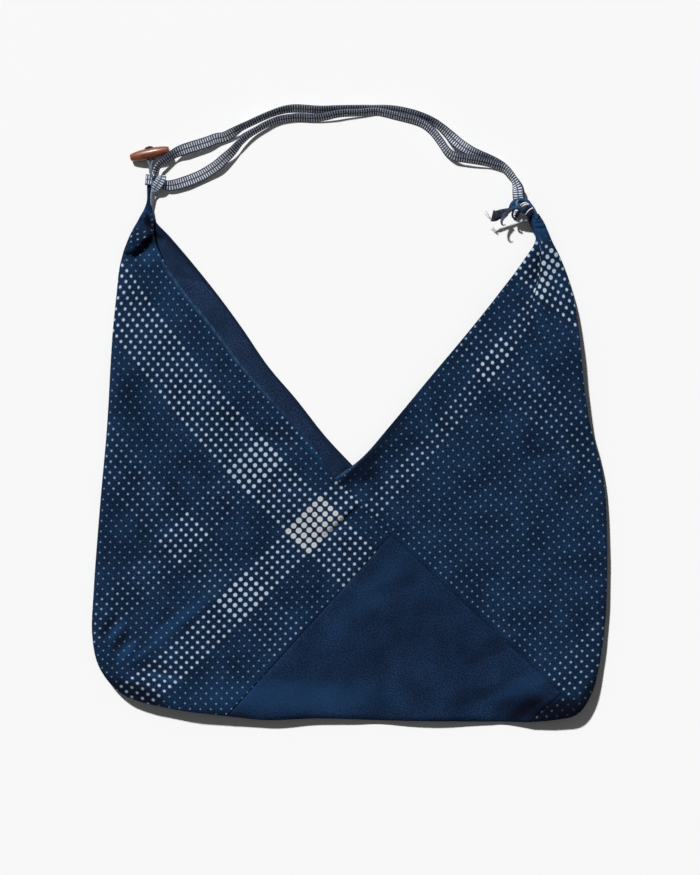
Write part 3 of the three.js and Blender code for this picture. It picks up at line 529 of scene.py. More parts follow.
# The right knot: the horn's tip goes round the strap's fold and ends in two frayed ends.
KNOT_STRANDS = [
    strand("knot_band", "cotton", [
        place((161, 205.4, 11), width=6, thick=3),
        place((162.6, 209.6, 13), width=5.8, thick=3),
        place((165.4, 212.8, 14.4), width=5, thick=3),
        place((169.6, 214.3, 15), width=3.8, thick=2.8),
        place((174, 214, 15), width=3, thick=2.8),
        place((177.2, 212.6, 14.6), width=2.8, thick=2.8),
        place((179, 210, 14.2), width=3, thick=3),
        place((181.2, 207, 14), width=3.4, thick=3),
        place((183.6, 203, 13.8), width=3.8, thick=3),
        place((185.2, 199, 13.4), width=4, thick=3),
        place((186, 195.6, 12.6), width=3.6, thick=3),
    ], folds=(3, 0.1, 0.05), node="horn_knot"),
    strand("knot_lit_fold", "painted_light", [
        place((167.6, 214.2, 15.4), width=1.4, thick=1.6),
        place((166.2, 212, 16), width=2, thick=2),
        place((165.8, 209.8, 16.2), width=2.2, thick=2),
        place((166.8, 207.8, 16), width=2, thick=2),
        place((168.6, 206.2, 15.4), width=1.6, thick=1.6),
    ]),
    strand("knot_bend", "cotton", [
        place((174.4, 202, 12.6), width=3.4, thick=2.6),
        place((171.4, 204.4, 14.6), width=4.4, thick=2.8),
        place((168.2, 206.2, 15.6), width=4.8, thick=2.8),
        place((164.6, 206.2, 15.8), width=4, thick=2.6),
        place((161.8, 205.4, 15.4), width=3, thick=2.2),
    ], folds=(3, 0.12, 0.06)),
    strand("knot_dark_fold", "dark", [
        place((172.2, 200.6, 12), width=4, thick=3.4),
        place((174.6, 203.8, 13.4), width=4.6, thick=3.6),
        place((177.8, 206.6, 14), width=4.4, thick=3.6),
        place((181, 206.8, 13.6), width=3.4, thick=3),
    ]),
    # A pale strand of painted highlight along the edge of the dark fold.
    strand("knot_fold_highlight", "pale", [
        place((174.8, 199.4, 14.6), width=1.1, thick=1.2),
        place((176.4, 201.6, 15.2), width=1.3, thick=1.4),
        place((178.6, 204, 15.8), width=1.4, thick=1.4),
        place((182, 206, 15.8), width=1.2, thick=1.2),
    ]),
    strand("knot_round_fold", "dark", [
        place((177.6, 196.2, 11.4), width=4.4, thick=4),
        place((179, 199.6, 13), width=5.4, thick=4.6),
        place((181.4, 202.2, 13.6), width=5.2, thick=4.4),
        place((183.6, 203.6, 13.2), width=4, thick=3.6),
    ], folds=(4, 0.08, 0.08)),
    strand("knot_foot", "dark", [
        place((178.2, 198.6, 10), width=4, thick=3),
        place((179.8, 193.8, 9.6), width=4.2, thick=3),
        place((182, 189, 9), width=3.4, thick=2.6),
        place((183.6, 184.6, 8), width=2.2, thick=2),
    ]),
    strand("strap_end_above", "pale", [
        place((169.6, 208.6, 13.6), width=1.6, thick=1.4),
        place((172.6, 210.6, 14.6), width=1.9, thick=1.4),
        place((177, 211.8, 14.8), width=1.6, thick=1.4),
    ]),
    strand("strap_end_below", "pale", [
        place((170.6, 206.8, 14), width=1.4, thick=1.4),
        place((174, 209, 15), width=1.7, thick=1.4),
        place((178, 210, 15.2), width=1.6, thick=1.4),
    ]),
    # A dark strand of painted shade in the knot's black opening.
    strand("painted_shade_in_the_knot_opening", "dark", [
        place((167.6, 211.8, 13), width=1.6, thick=1.4),
        place((170.6, 212.4, 13.6), width=2, thick=1.6),
        place((174.4, 212.6, 13.4), width=1.4, thick=1.4),
    ]),
    strand("long_tie", "tie", [
        place((164.2, 205, 14.8), tilt=-10, width=2.4, thick=1.8),
        place((160.1, 204.2, 15.2), tilt=-20, width=3.8, thick=1.6),
        place((155.7, 202.5, 15), tilt=-28, width=6.8, thick=1.4),
        place((151.2, 200.7, 14.6), tilt=-32, width=9.4, thick=1.3),
        place((147.2, 199.2, 14.4), tilt=-34, width=10.2, thick=1.3),
        place((144.2, 198, 14.4), tilt=-34, width=11.4, thick=1.2),
        place((141.4, 198.4, 14.6), tilt=-34, width=12.6, thick=1),
    ], folds=(7, 0.09, 0.0), node="tie_end_long"),
    strand("short_tie", "tie", [
        place((156, 200.6, 15), width=5, thick=1.4),
        place((153.6, 198, 15.2), width=4.6, thick=1.4),
        place((151.6, 195, 15.6), width=3.4, thick=1.3),
        place((150.8, 191.8, 16.2), width=2.4, thick=1.2),
        place((151.4, 189.4, 16.8), width=1.8, thick=1),
        place((152.6, 188.6, 17), width=1.2, thick=0.9),
        place((154.8, 189.2, 17), width=0.9, thick=0.8),
    ], node="tie_end_short"),
    strand("curled_thread", "dark", [
        place((163.9, 205.4, 14), width=2.2, thick=2),
        place((162.3, 202.4, 14.4), width=2.2, thick=2),
        place((161.7, 199.2, 14.4), width=2.2, thick=2),
        place((162.4, 196.8, 14.2), width=2, thick=2),
        place((164.2, 195.6, 14), width=1.8, thick=1.8),
        place((166, 194.4, 13.6), width=1.4, thick=1.4),
    ]),
    # A broad fold in the knot, coloured as painted shadow.
    strand("fold_in_the_shade", "shade", [
        place((163.8, 200.6, 12.6), width=4.6, thick=1.8),
        place((167.6, 199.8, 13), width=7, thick=2),
        place((171.6, 199, 13), width=7.4, thick=2),
        place((175.6, 197.4, 12.6), width=6.4, thick=2),
        place((178.6, 195, 12), width=4, thick=1.8),
    ], folds=(5, 0.1, 0.02)),
    strand("pale_thread_above", "pale", [
        place((166, 203.2, 14.6), width=1, thick=1),
        place((164.8, 200.8, 14.6), width=1.1, thick=1),
        place((163.4, 198.6, 14.2), width=0.9, thick=0.9),
    ]),
    strand("dark_thread", "dark", [
        place((168.6, 203.4, 14.4), width=1.8, thick=1.6),
        place((166.6, 199.6, 14.6), width=1.8, thick=1.6),
        place((165, 196.8, 13.4), width=1.4, thick=1.4),
    ]),
    strand("frayed_thread_above", "pale", [
        place((141, 194.4, 15), width=1.1, thick=0.9),
        place((138.9, 197, 15.4), width=1, thick=0.8),
        place((137.3, 199.6, 16), width=0.9, thick=0.8),
        place((134.9, 203, 16.8), width=0.7, thick=0.7),
    ]),
    strand("frayed_thread_below", "pale", [
        place((140.6, 194.2, 14.8), width=0.9, thick=0.8),
        place((137.4, 196.8, 15), width=0.8, thick=0.7),
        place((135.6, 199, 15.4), width=0.7, thick=0.7),
        place((133.6, 200.6, 16), width=0.6, thick=0.6),
    ]),
]

# Wooden toggle and its cord
TOGGLE_AT = (-200.0, 261.0, 6.75)
TOGGLE_TURN = 10.5  # degrees that it rises to the right
TOGGLE_RISE = 8.0  # and its right end from the surface
TOGGLE_LENGTH = 40.0
TOGGLE_RADIUS = 5.7
TOGGLE_HOLE = 1.7
DRILL_LENGTH = 40.0
DRILL_SIDES = 32
TOGGLE_ROWS = 60
TOGGLE_SIDES = 48
# From the middle to one end: the share of the length, and the share of the greatest radius.
TOGGLE_HALF = [
    (0.13, 0.99), (0.26, 0.92), (0.38, 0.8), (0.47, 0.64), (0.493, 0.55), (0.5, 0.46), (0.5, 0.02),
]
TOGGLE_PROFILE = [(-along, radius) for along, radius in reversed(TOGGLE_HALF)] + [(0.0, 1.0)] + TOGGLE_HALF
LEFT_CORD = [
    place((-201.2, 266, 7), width=2.4, thick=2.2),
    place((-203, 257, 6.4), width=2.3, thick=2),
    place((-201.6, 253.4, 7.4), width=2.3, thick=2),
    place((-199.6, 248, 9), width=2.4, thick=2),
    place((-199, 242, 10.6), width=2.6, thick=2),
    place((-196.4, 236.4, 10.2), width=2.6, thick=2),
]
RIGHT_CORD = [
    place((-198.4, 266, 7), width=2.4, thick=2.2),
    place((-196.2, 258, 6.2), width=2.2, thick=2),
    place((-197, 254, 7.2), width=2.2, thick=2),
    place((-198.2, 249, 9.4), width=2.2, thick=2),
    place((-198, 243, 11), width=2.4, thick=2),
]
CORD_KNOT = [
    place((-205.2, 264.6, 6.6), width=2, thick=2),
    place((-203, 266, 7.6), width=3.2, thick=3.4),
    place((-199.6, 266.8, 7.8), width=3.6, thick=4),
    place((-196.2, 266.4, 7), width=2.6, thick=3),
]


def smooth(points):
    """A centripetal curve through points; it is called with places counted in points."""
    points = np.asarray(points, float)
    ends = 2 * points[0] - points[1], 2 * points[-1] - points[-2]
    padded = np.vstack([ends[0], points, ends[1]])
    spans = np.linalg.norm(np.diff(padded, axis=0), axis=1) ** 0.5
    middle = np.where(spans < 1e-4, 1.0, spans)

    def at(places):
        places = np.atleast_1d(np.asarray(places, float))
        n = np.clip(places.astype(int), 0, len(points) - 2)
        t = (places - n)[:, None]
        p0, p1, p2, p3 = (padded[n + k] for k in range(4))
        d1 = middle[n + 1][:, None]
        d0 = np.where(spans[n][:, None] < 1e-4, d1, spans[n][:, None])
        d2 = np.where(spans[n + 2][:, None] < 1e-4, d1, spans[n + 2][:, None])
        m1 = ((p1 - p0) / d0 - (p2 - p0) / (d0 + d1) + (p2 - p1) / d1) * d1
        m2 = ((p2 - p1) / d1 - (p3 - p1) / (d1 + d2) + (p3 - p2) / d2) * d1
        return p1 + m1 * t + (3 * (p2 - p1) - 2 * m1 - m2) * t**2 + (2 * (p1 - p2) + m1 + m2) * t**3

    return at


def smooth_with_corner(points, corner=None):
    """As smooth, but with a sharp turn at one point."""
    if corner is None:
        return smooth(points)
    before, after = smooth(points[: corner + 1]), smooth(points[corner:])

    def at(places):
        places = np.atleast_1d(np.asarray(places, float))
        late = (places > corner)[:, None]
        return np.where(late, after(np.maximum(places - corner, 0)), before(np.minimum(places, corner)))

    return at


def unit(vectors):
    return vectors / np.maximum(np.linalg.norm(vectors, axis=-1, keepdims=True), 1e-9)


def crease_height(x, y):
    rise = np.zeros_like(x)
    for one in CREASES:
        start, end = np.array(one["start"], float), np.array(one["end"], float)
        run = end - start
        length = np.hypot(*run)
        along = ((x - start[0]) * run[0] + (y - start[1]) * run[1]) / length**2
        across = ((x - start[0]) * run[1] - (y - start[1]) * run[0]) / length
        fade = np.clip(1 - (2 * along - 1) ** 2, 0, 1)
        rise += one["rise"] * fade * np.exp(-((across / one["half"]) ** 2))
    return rise


def overlap_height(x, y):
    rise = np.zeros_like(x)
    for one in OVERLAPS:
        start, end = np.array(one["start"], float), np.array(one["end"], float)
        run = end - start
        length = np.hypot(*run)
        along = ((x - start[0]) * run[0] + (y - start[1]) * run[1]) / length**2
        side = (run[0] * (y - start[1]) - run[1] * (x - start[0])) / length
        fade = np.clip(1 - np.abs(2 * along - 1) ** one["blunt"], 0, 1)
        half = np.where(side > 0, one["back"], one["drop"])
        leaning = 1 + one["lean"] * (2 * np.clip(along, 0, 1) - 1)
        rise += one["rise"] * leaning * fade * np.exp(-((side / half) ** 2))
    return rise


def nearest_fold(x, y):
    """Signed distance from the nearest sharp fold, and how much of that fold's painted shade falls there."""
    side, share = np.full_like(x, SHARP_REACH), np.zeros_like(x)
    for one in SHARP_FOLDS:
        for n, (a, b) in enumerate(zip(one["points"], one["points"][1:])):
            run = np.subtract(b, a, dtype=float)
            length = np.hypot(*run)
            along = ((x - a[0]) * run[0] + (y - a[1]) * run[1]) / length
            across = (run[0] * (y - a[1]) - run[1] * (x - a[0])) / length
            past = np.maximum(np.maximum(-along, along - length), 0)
            nearer = (np.hypot(across, past) < np.abs(side)) & (past < SHARP_REACH)
            part = (n + np.clip(along / length, 0, 1)) / (len(one["points"]) - 1)
            fade = np.clip(4 * part * (1 - part) * 1.6, 0, 1) * np.clip(1 - past / 2, 0, 1)
            side = np.where(nearer, across, side)
            share = np.where(nearer, one["share"] * fade, share)
    return side, share * np.clip(2 - 2 * np.abs(side) / SHARP_REACH, 0, 1)


def painted_shade_and_light_at(x, y, inside):
    """How dark the painted shade is, how bare of dots the cloth is and how pale the painted light is, on one
    face of the cloth.
    """
    shares = {key: np.zeros_like(x) for key in ("dark", "bare", "painted_light")}
    for one in PAINTED_SHADE_AND_LIGHT:
        if one["inside"] != inside:
            continue
        turn = math.radians(one["turn"])
        dx, dy = x - one["at"][0], y - one["at"][1]
        along = (dx * math.cos(turn) + dy * math.sin(turn)) / one["radius"][0]
        across = (dy * math.cos(turn) - dx * math.sin(turn)) / one["radius"][1]
        near = np.exp(-((along**2 + across**2) ** 2))
        for key in shares:
            shares[key] = np.maximum(shares[key], one[key] * near)
    return shares


def lift_height(x, y, layer):
    lift = np.zeros_like(x)
    for one in LIFTS:
        distance = np.hypot(x - one["at"][0], y - one["at"][1])
        lift += one[layer] * np.exp(-((distance / one["radius"]) ** 2))
    return lift


class Panel:
    """A panel's grid of points: its rows run from the front edge round the fold to the back edge."""

    def __init__(self, sections, cloth, corner=None, hand=-1, seams=("last",), turn=None):
        self.sections, self.cloth, self.corner, self.hand = sections, cloth, corner, hand
        self.seams, self.turn = seams, turn
        self.end = len(sections) - 1
        self.rows = self.spread_rows()
        self.front = self.edge_points("front", corner)
        self.back = self.edge_points("back", corner)
        self.fold = self.edge_points("fold", None)
        self.lay()
        self.measure_edges()
        self.press_seams()
        self.chart()

    def column(self, key):
        return [one[key] for one in self.sections]

    def spread_rows(self):
        """Row places, about one row for each step along the widest edge."""
        places = [0.0]
        for n, (a, b) in enumerate(zip(self.sections, self.sections[1:])):
            reach = max(math.dist(a[key], b[key]) for key in ("front", "fold", "back"))
            step = HORN_ROW_STEP if n < HORN_SECTIONS and self.corner else ROW_STEP
            count = max(LEAST_ROWS, math.ceil(reach / step))
            places += [n + (k + 1) / count for k in range(count)]
        return np.array(places)

    def edge_points(self, key, corner):
        """One rail of the panel, drawn in by half a seam gap at its edges and at its sewn rows."""
        line = smooth_with_corner(self.column(key), corner)
        points = line(self.rows)
        if key != "fold":
            ahead = line(np.minimum(self.rows + SEAM_STEP, self.end))
            behind = line(np.maximum(self.rows - SEAM_STEP, 0))
            along = unit(ahead - behind)
            points += np.stack([-along[:, 1], along[:, 0]], axis=1) * self.hand * SEAM_GAP / 2
        for seam, row, step in (("first", 0, SEAM_STEP), ("last", -1, -SEAM_STEP)):
            if seam in self.seams:
                inward = line(self.rows[row] + step) - line(self.rows[row])
                draw = -SEAM_GAP / 2 if key == self.turn else SEAM_GAP / math.sqrt(2)
                points[row] += unit(inward)[0] * draw
        return points

    def lay(self):
        """Heights and places of all the grid's points."""
        front, fold, back = self.front, self.fold, self.back
        top, under, shut = (
            np.interp(self.rows, range(self.end + 1), self.column(key)) for key in ("top", "under", "shut")
        )
        reach = np.linalg.norm(front - fold, axis=1)
        depth = np.minimum(FOLD_DEPTH, HALF_REACH * reach)
        back_depth = np.minimum(FOLD_DEPTH, HALF_REACH * np.linalg.norm(back - fold, axis=1))
        to_front, to_back = unit(front - fold), unit(back - fold)
        middle = (top + under) / 2
        edge = (CLOTH + SHUT_GAP) / 2

        def arched(base, open_height, distance):
            part = np.minimum(distance / (HALF_REACH * reach[:, None]), 1)
            arch = 1 - shut[:, None] * (1 - np.sqrt(np.maximum(1 - (1 - part) ** 2, 0)))
            return base[:, None] + (open_height - base[:, None]) * arch

        def top_height(p, distance):
            x, y = p[..., 0], p[..., 1]
            raised = crease_height(x, y) + overlap_height(x, y) + lift_height(x, y, "top")
            raised += uneven_height(x, y)
            return arched(middle + edge, top[:, None] + raised, distance)

        def under_height(p, distance):
            raised = lift_height(p[..., 0], p[..., 1], "under")
            return arched(middle - edge, under[:, None] + raised, distance)

        part = np.linspace(0, 1, FRONT_COLUMNS + 1) ** EDGE_CROWDING
        distance = (reach - depth)[:, None] * part
        flat = front[:, None] - to_front[:, None] * distance[..., None]
        facing = np.dstack([flat, top_height(flat, distance)])
        foot = fold + to_back * back_depth[:, None]
        foot_height = under_height(foot[:, None], reach[:, None])[:, 0]
        crest_height = facing[:, -1, 2]
        waist = (crest_height + foot_height) / 2
        turn = np.radians(np.linspace(90 / FOLD_COLUMNS, 90, FOLD_COLUMNS))

        def quarter(toward, reach_in, in_part, rise, height_part):
            xy = fold[:, None] + toward[:, None] * (reach_in[:, None] * in_part)[..., None]
            return np.dstack([xy, waist[:, None] + rise[:, None] * height_part])

        over = quarter(to_front, depth, 1 - np.sin(turn), crest_height - waist, np.cos(turn))
        below = quarter(to_back, back_depth, 1 - np.cos(turn), foot_height - waist, np.sin(turn))
        part = np.linspace(1 / BACK_COLUMNS, 1, BACK_COLUMNS)
        behind = foot[:, None] + (back - foot)[:, None] * part[:, None]
        behind = np.dstack([behind, under_height(behind, (1 - part) * reach[:, None])])
        self.grid = np.hstack([facing, over, below, behind])

    def measure_edges(self):
        """Each point's distance from the mouth and from the nearest seam."""
        rows, columns, _ = self.grid.shape
        self.mouth = np.full((rows, columns), FAR)
        self.seam = np.full((rows, columns), FAR)
        for side in (1, -1):
            grid = self.grid[:, ::side]
            edge = grid[:, 0, :2]
            along = unit(np.gradient(edge, axis=0))
            offset = grid[..., :2] - edge[:, None]
            square = np.abs(offset[..., 0] * along[:, None, 1] - offset[..., 1] * along[:, None, 0])
            reach = np.concatenate([[0], np.cumsum(np.linalg.norm(np.diff(edge, axis=0), axis=1))])
            at_corner = np.interp(self.corner or 0, self.rows, reach)
            past = np.maximum(reach - at_corner, 0)[:, None] if self.corner else FAR
            short = np.maximum(at_corner - reach, 0)[:, None]
            near = np.arange(columns)[None, :] < columns // 2
            mouth = np.where(near, np.hypot(square, past), FAR)[:, ::side]
            seam = np.where(near, np.hypot(square, short), FAR)[:, ::side]
            self.mouth = np.minimum(self.mouth, mouth)
            self.seam = np.minimum(self.seam, seam)
        for name, step in (("first", 1), ("last", -1)):
            if name in self.seams:
                grid = self.grid[::step]
                run = np.cumsum(np.linalg.norm(np.diff(grid, axis=0), axis=2), axis=0)
                run = np.vstack([np.zeros((1, columns)), run])[::step]
                self.seam = np.minimum(self.seam, run)

    def press_seams(self):
        """The cloth dips into its seams, a little unevenly."""
        x, y = self.grid[..., 0], self.grid[..., 1]
        facing = np.arange(self.grid.shape[1]) <= FRONT_COLUMNS
        pucker = 1 + 0.5 * np.sin(x * 0.83 + 1.7 * np.sin(y * 0.21)) * np.sin(y * 0.71)
        dip = SEAM_DIP * np.exp(-((self.seam / SEAM_DIP_HALF) ** 2))
        ripple = SEAM_RIPPLE * np.exp(-((self.seam / SEAM_RIPPLE_HALF) ** 2)) * (pucker - 1)
        self.grid[..., 2] += np.where(facing, ripple - dip * pucker, dip * 0.5)

    def chart(self):
        """Cloth coordinates, counted in dots, of each point."""
        flat = self.grid[..., :2].copy()
        crest = self.grid[:, FRONT_COLUMNS]
        run = np.linalg.norm(np.diff(self.grid[:, FRONT_COLUMNS:], axis=1), axis=2)
        run = np.hstack([np.zeros((len(run), 1)), np.cumsum(run, axis=1)])
        outward = unit(self.fold - self.front)
        waist = FOLD_COLUMNS
        over = crest[:, None, :2] + outward[:, None] * run[:, : waist + 1, None]
        flat[:, FRONT_COLUMNS : FRONT_COLUMNS + waist + 1] = over
        along = unit(np.gradient(self.fold, axis=0))
        inward = -outward + along * np.sum(outward * along, axis=1, keepdims=True)
        inward = unit(inward)
        start = FRONT_COLUMNS + waist + 1
        offset = self.grid[:, start:, :2] - self.fold[:, None]
        ahead = np.sum(offset * along[:, None], axis=2)
        inside = np.sum(offset * inward[:, None], axis=2)
        length = np.maximum(np.hypot(ahead, inside), 1e-6)
        scale = (run[:, waist + 1 :] - run[:, [waist]]) / length
        sideways = along[:, None] * (ahead * scale)[..., None]
        flat[:, start:] = over[:, [-1]] + sideways - inward[:, None] * (inside * scale)[..., None]
        self.dots = dots_at(flat, self.cloth)
        if self.cloth is LEFT_CLOTH:
            self.dots = flap_dots(flat, self.dots)
        if self.cloth is RIGHT_CLOTH:
            self.dots = gathered_dots(flat, self.dots)


def dots_at(places, cloth, counts=(0, 0)):
    """Places of the table's frame, as counts of dots along the cloth and across it."""
    steps = np.array([cloth["along"], cloth["across"]], float)
    dots = (places - np.array(cloth["dot"], float)) @ np.linalg.inv(steps) + counts
    if "bow" in cloth:
        by, of = (0, 1) if cloth["bent"] == "across" else (1, 0)
        at, bend = zip(*cloth["bow"])
        dots[..., of] -= np.interp(dots[..., by], at, bend)
    for shift in cloth.get("shifts", []):
        dots += drawn(places, shift)
    return dots


def drawn(places, shift):
    """How far a shift draws the cloth at each place, in dots."""
    distance = np.linalg.norm(places - np.array(shift["at"], float), axis=-1)
    return np.exp(-((distance / shift["radius"]) ** 2))[..., None] * np.array(shift["dots"], float)


def gathered_dots(flat, dots):
    """Draws the cloth together over the gather of the right horn."""
    x, y = flat[..., 0], flat[..., 1]
    line = np.interp(y, *zip(*GATHER_LINE))
    softness = np.interp(y, *zip(*GATHER_SOFTNESS))
    right = (np.clip((x - line) / softness, -1, 1) / 2 + 0.5)[..., None]
    return dots + drawn(flat, GATHER_LEFT) * (1 - right) + drawn(flat, GATHER_RIGHT) * right


def flap_dots(flat, dots):
    """Gives the flap of the left horn its own part of the cloth."""
    start, end = np.array(OVERLAPS[0]["start"], float), np.array(OVERLAPS[0]["end"], float)
    run = end - start
    offset = flat - start
    side = (run[0] * offset[..., 1] - run[1] * offset[..., 0]) / np.hypot(*run)
    own = dots_at(flat, FLAP, FLAP["counts"])
    return np.where(((side > -0.5) & (flat[..., 1] > start[1]))[..., None], own, dots)


def uneven_height(x, y):
    """Broad, low waves that keep the front from being flat."""
    draw = np.random.RandomState(UNEVEN_SEED)
    height = np.zeros_like(x)
    for _ in range(UNEVEN_WAVES):
        length = draw.uniform(*UNEVEN_LENGTHS)
        turn, start = draw.uniform(0, math.pi), draw.uniform(0, 2 * math.pi)
        wave = (x * math.cos(turn) + y * math.sin(turn)) * 2 * math.pi / length
        height += UNEVEN_SHARE * length * np.sin(wave + start)
    return height


# Meshes

def world(points):
    """Points of the tables, in millimetres, as places in the frame."""
    points = np.array(points, float).reshape(-1, 3).copy()
    points[:, :2] += CENTRE
    return points * MM


def mesh_piece(name, points, faces, finishes, slots=None, uv=None, numbers=None):
    """A smooth mesh. slots gives each face's finish, uv and numbers one value for each point."""
    mesh = bpy.data.meshes.new(name)
    mesh.from_pydata(world(points).tolist(), [], [list(map(int, face)) for face in faces])
    for finish in finishes:
        mesh.materials.append(finish)
    if slots is not None:
        mesh.polygons.foreach_set("material_index", np.asarray(slots, np.int32))
    if uv is not None:
        corners = np.empty(len(mesh.loops), np.int32)
        mesh.loops.foreach_get("vertex_index", corners)
        layer = mesh.uv_layers.new(name="cloth")
        layer.data.foreach_set("uv", np.asarray(uv, np.float32)[corners].ravel())
    for key, values in (numbers or {}).items():
        layer = mesh.attributes.new(key, "FLOAT", "POINT")
        layer.data.foreach_set("value", np.asarray(values, np.float32).ravel())
    mesh.polygons.foreach_set("use_smooth", np.ones(len(mesh.polygons), bool))
    mesh.update()
    piece = bpy.data.objects.new(name, mesh)
    bpy.context.scene.collection.objects.link(piece)
    return piece


def even_path(rows, step):
    """Even places along rows: the middle, the ways across and up, the sizes and the run so far."""
    line = smooth([row["at"] for row in rows])
    dense = np.linspace(0, len(rows) - 1, 40 * (len(rows) - 1) + 1)
    run = np.concatenate([[0], np.cumsum(np.linalg.norm(np.diff(line(dense), axis=0), axis=1))])
    even = np.linspace(0, run[-1], max(int(run[-1] / step), 4) + 1)
    places = np.interp(even, run, dense)
    middle = line(places)
    ahead = unit(np.gradient(middle, axis=0))
    level = unit(np.cross((0, 0, 1), ahead))
    raised = np.cross(ahead, level)
    tilt, width, thick = (
        np.interp(places, range(len(rows)), [row[key] for row in rows])
        for key in ("tilt", "width", "thick")
    )
    tilt = np.radians(tilt)[:, None]
    across = level * np.cos(tilt) + raised * np.sin(tilt)
    return {"middle": middle, "across": across, "width": width, "thick": thick, "run": even}


def join_paths(*paths):
    return {key: np.concatenate([path[key] for path in paths]) for key in paths[0]}


def flat_outline(sides, squareness=3.2):
    """A flattened round, as places across and up from -1 to 1."""
    turn = np.linspace(0, 2 * math.pi, sides, endpoint=False)
    across, up = np.cos(turn), np.sin(turn)
    power = 2 / squareness
    return np.stack([np.sign(across) * np.abs(across) ** power, np.sign(up) * np.abs(up) ** power], axis=1)


def swept_piece(name, path, outline, finish, pleats=(0, 0.0, 0.0), uv_scale=1.0):
    """An outline carried along a path. pleats is the count, depth and turns a mm of its folds."""
    middle, side = path["middle"], path["across"]
    ahead = unit(np.gradient(middle, axis=0))
    up = unit(np.cross(ahead, side))
    rows, sides = len(middle), len(outline)
    count, depth, twist = pleats
    turn = np.arctan2(outline[:, 1], outline[:, 0])[None]
    swell = 1 + depth * np.sin(count * turn + 2 * math.pi * twist * path["run"][:, None])
    wide = outline[None, :, 0] * path["width"][:, None] / 2 * swell
    high = outline[None, :, 1] * path["thick"][:, None] / 2 * swell
    points = middle[:, None] + side[:, None] * wide[..., None] + up[:, None] * high[..., None]
    index = np.arange(rows * sides).reshape(rows, sides)
    following = np.roll(index, -1, axis=1)
    faces = np.stack([index[:-1], following[:-1], following[1:], index[1:]], axis=-1).reshape(-1, 4).tolist()
    faces += [index[0, ::-1].tolist(), index[-1].tolist()]
    run = np.broadcast_to(path["run"][:, None], wide.shape)
    uv = np.stack([wide, run], axis=-1).reshape(-1, 2) * uv_scale
    return mesh_piece(name, points.reshape(-1, 3), faces, [finish], uv=uv)


def doubled(upper, lower):
    """The tape's upper run, its fold and its lower run back."""
    start, end = upper["middle"][-1], lower["middle"][-1]
    centre, rise = (start + end) / 2, (start - end) / 2
    ahead = unit(upper["middle"][-1] - upper["middle"][-2]) * np.linalg.norm(rise)
    turn = np.linspace(0, math.pi, TAPE_TURN_STEPS + 1)[1:-1, None]
    size = np.ones(len(turn))
    fold = {
        "middle": centre + rise * np.cos(turn) + ahead * np.sin(turn),
        "across": np.repeat(upper["across"][-1:], len(turn), axis=0),
        "width": size * TAPE_WIDTH,
        "thick": size * TAPE_THICKNESS,
        "run": size * 0,
    }
    whole = join_paths(upper, fold, {key: values[::-1] for key, values in lower.items()})
    steps = np.linalg.norm(np.diff(whole["middle"], axis=0), axis=1)
    whole["run"] = np.concatenate([[0], np.cumsum(steps)])
    return whole


def turned_toggle():
    """The bead, turned from its profile, with its hole cut through."""
    profile = smooth(TOGGLE_PROFILE)(np.linspace(0, len(TOGGLE_PROFILE) - 1, TOGGLE_ROWS))
    turn = np.linspace(0, 2 * math.pi, TOGGLE_SIDES, endpoint=False)
    along = np.repeat(profile[:, :1] * TOGGLE_LENGTH, TOGGLE_SIDES, axis=1)
    radius = np.maximum(profile[:, 1:], 0.02) * TOGGLE_RADIUS
    points = np.stack([along, radius * np.cos(turn), radius * np.sin(turn)], axis=-1)
    index = np.arange(TOGGLE_ROWS * TOGGLE_SIDES).reshape(TOGGLE_ROWS, TOGGLE_SIDES)
    following = np.roll(index, -1, axis=1)
    faces = np.stack([index[:-1], index[1:], following[1:], following[:-1]], axis=-1).reshape(-1, 4).tolist()
    faces += [index[0].tolist(), index[-1, ::-1].tolist()]
    axes = np.array(Euler((0, -math.radians(TOGGLE_RISE), math.radians(TOGGLE_TURN))).to_matrix()).T
    uv = np.stack([along, radius * turn], axis=-1).reshape(-1, 2)
    places = points.reshape(-1, 3) @ axes + TOGGLE_AT
    bead = mesh_piece("wooden_toggle", places, faces, [turned_wood("turned red wood")], uv=uv)
    return drilled(bead, TOGGLE_AT, axes[1], TOGGLE_HOLE)


def drilled(piece, at, way, radius):
    """Cuts a round hole through a piece."""
    bpy.ops.mesh.primitive_cylinder_add(vertices=DRILL_SIDES, radius=radius * MM, depth=DRILL_LENGTH * MM)
    drill = bpy.context.object
    drill.location = world(at)[0]
    drill.rotation_euler = Vector(way).to_track_quat("Z", "Y").to_euler()
    cut = piece.modifiers.new("hole", "BOOLEAN")
    cut.object, cut.operation = drill, "DIFFERENCE"
    bpy.context.view_layer.update()
    shape = piece.evaluated_get(bpy.context.evaluated_depsgraph_get())
    holed = bpy.data.meshes.new_from_object(shape)
    piece.modifiers.clear()
    piece.data = holed
    bpy.data.objects.remove(drill)
    return piece


def hold(piece, slot, *nodes):
    """Ties a piece to the frame in place of solids."""
    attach(piece, "root")
    if nodes:
        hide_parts(*nodes)


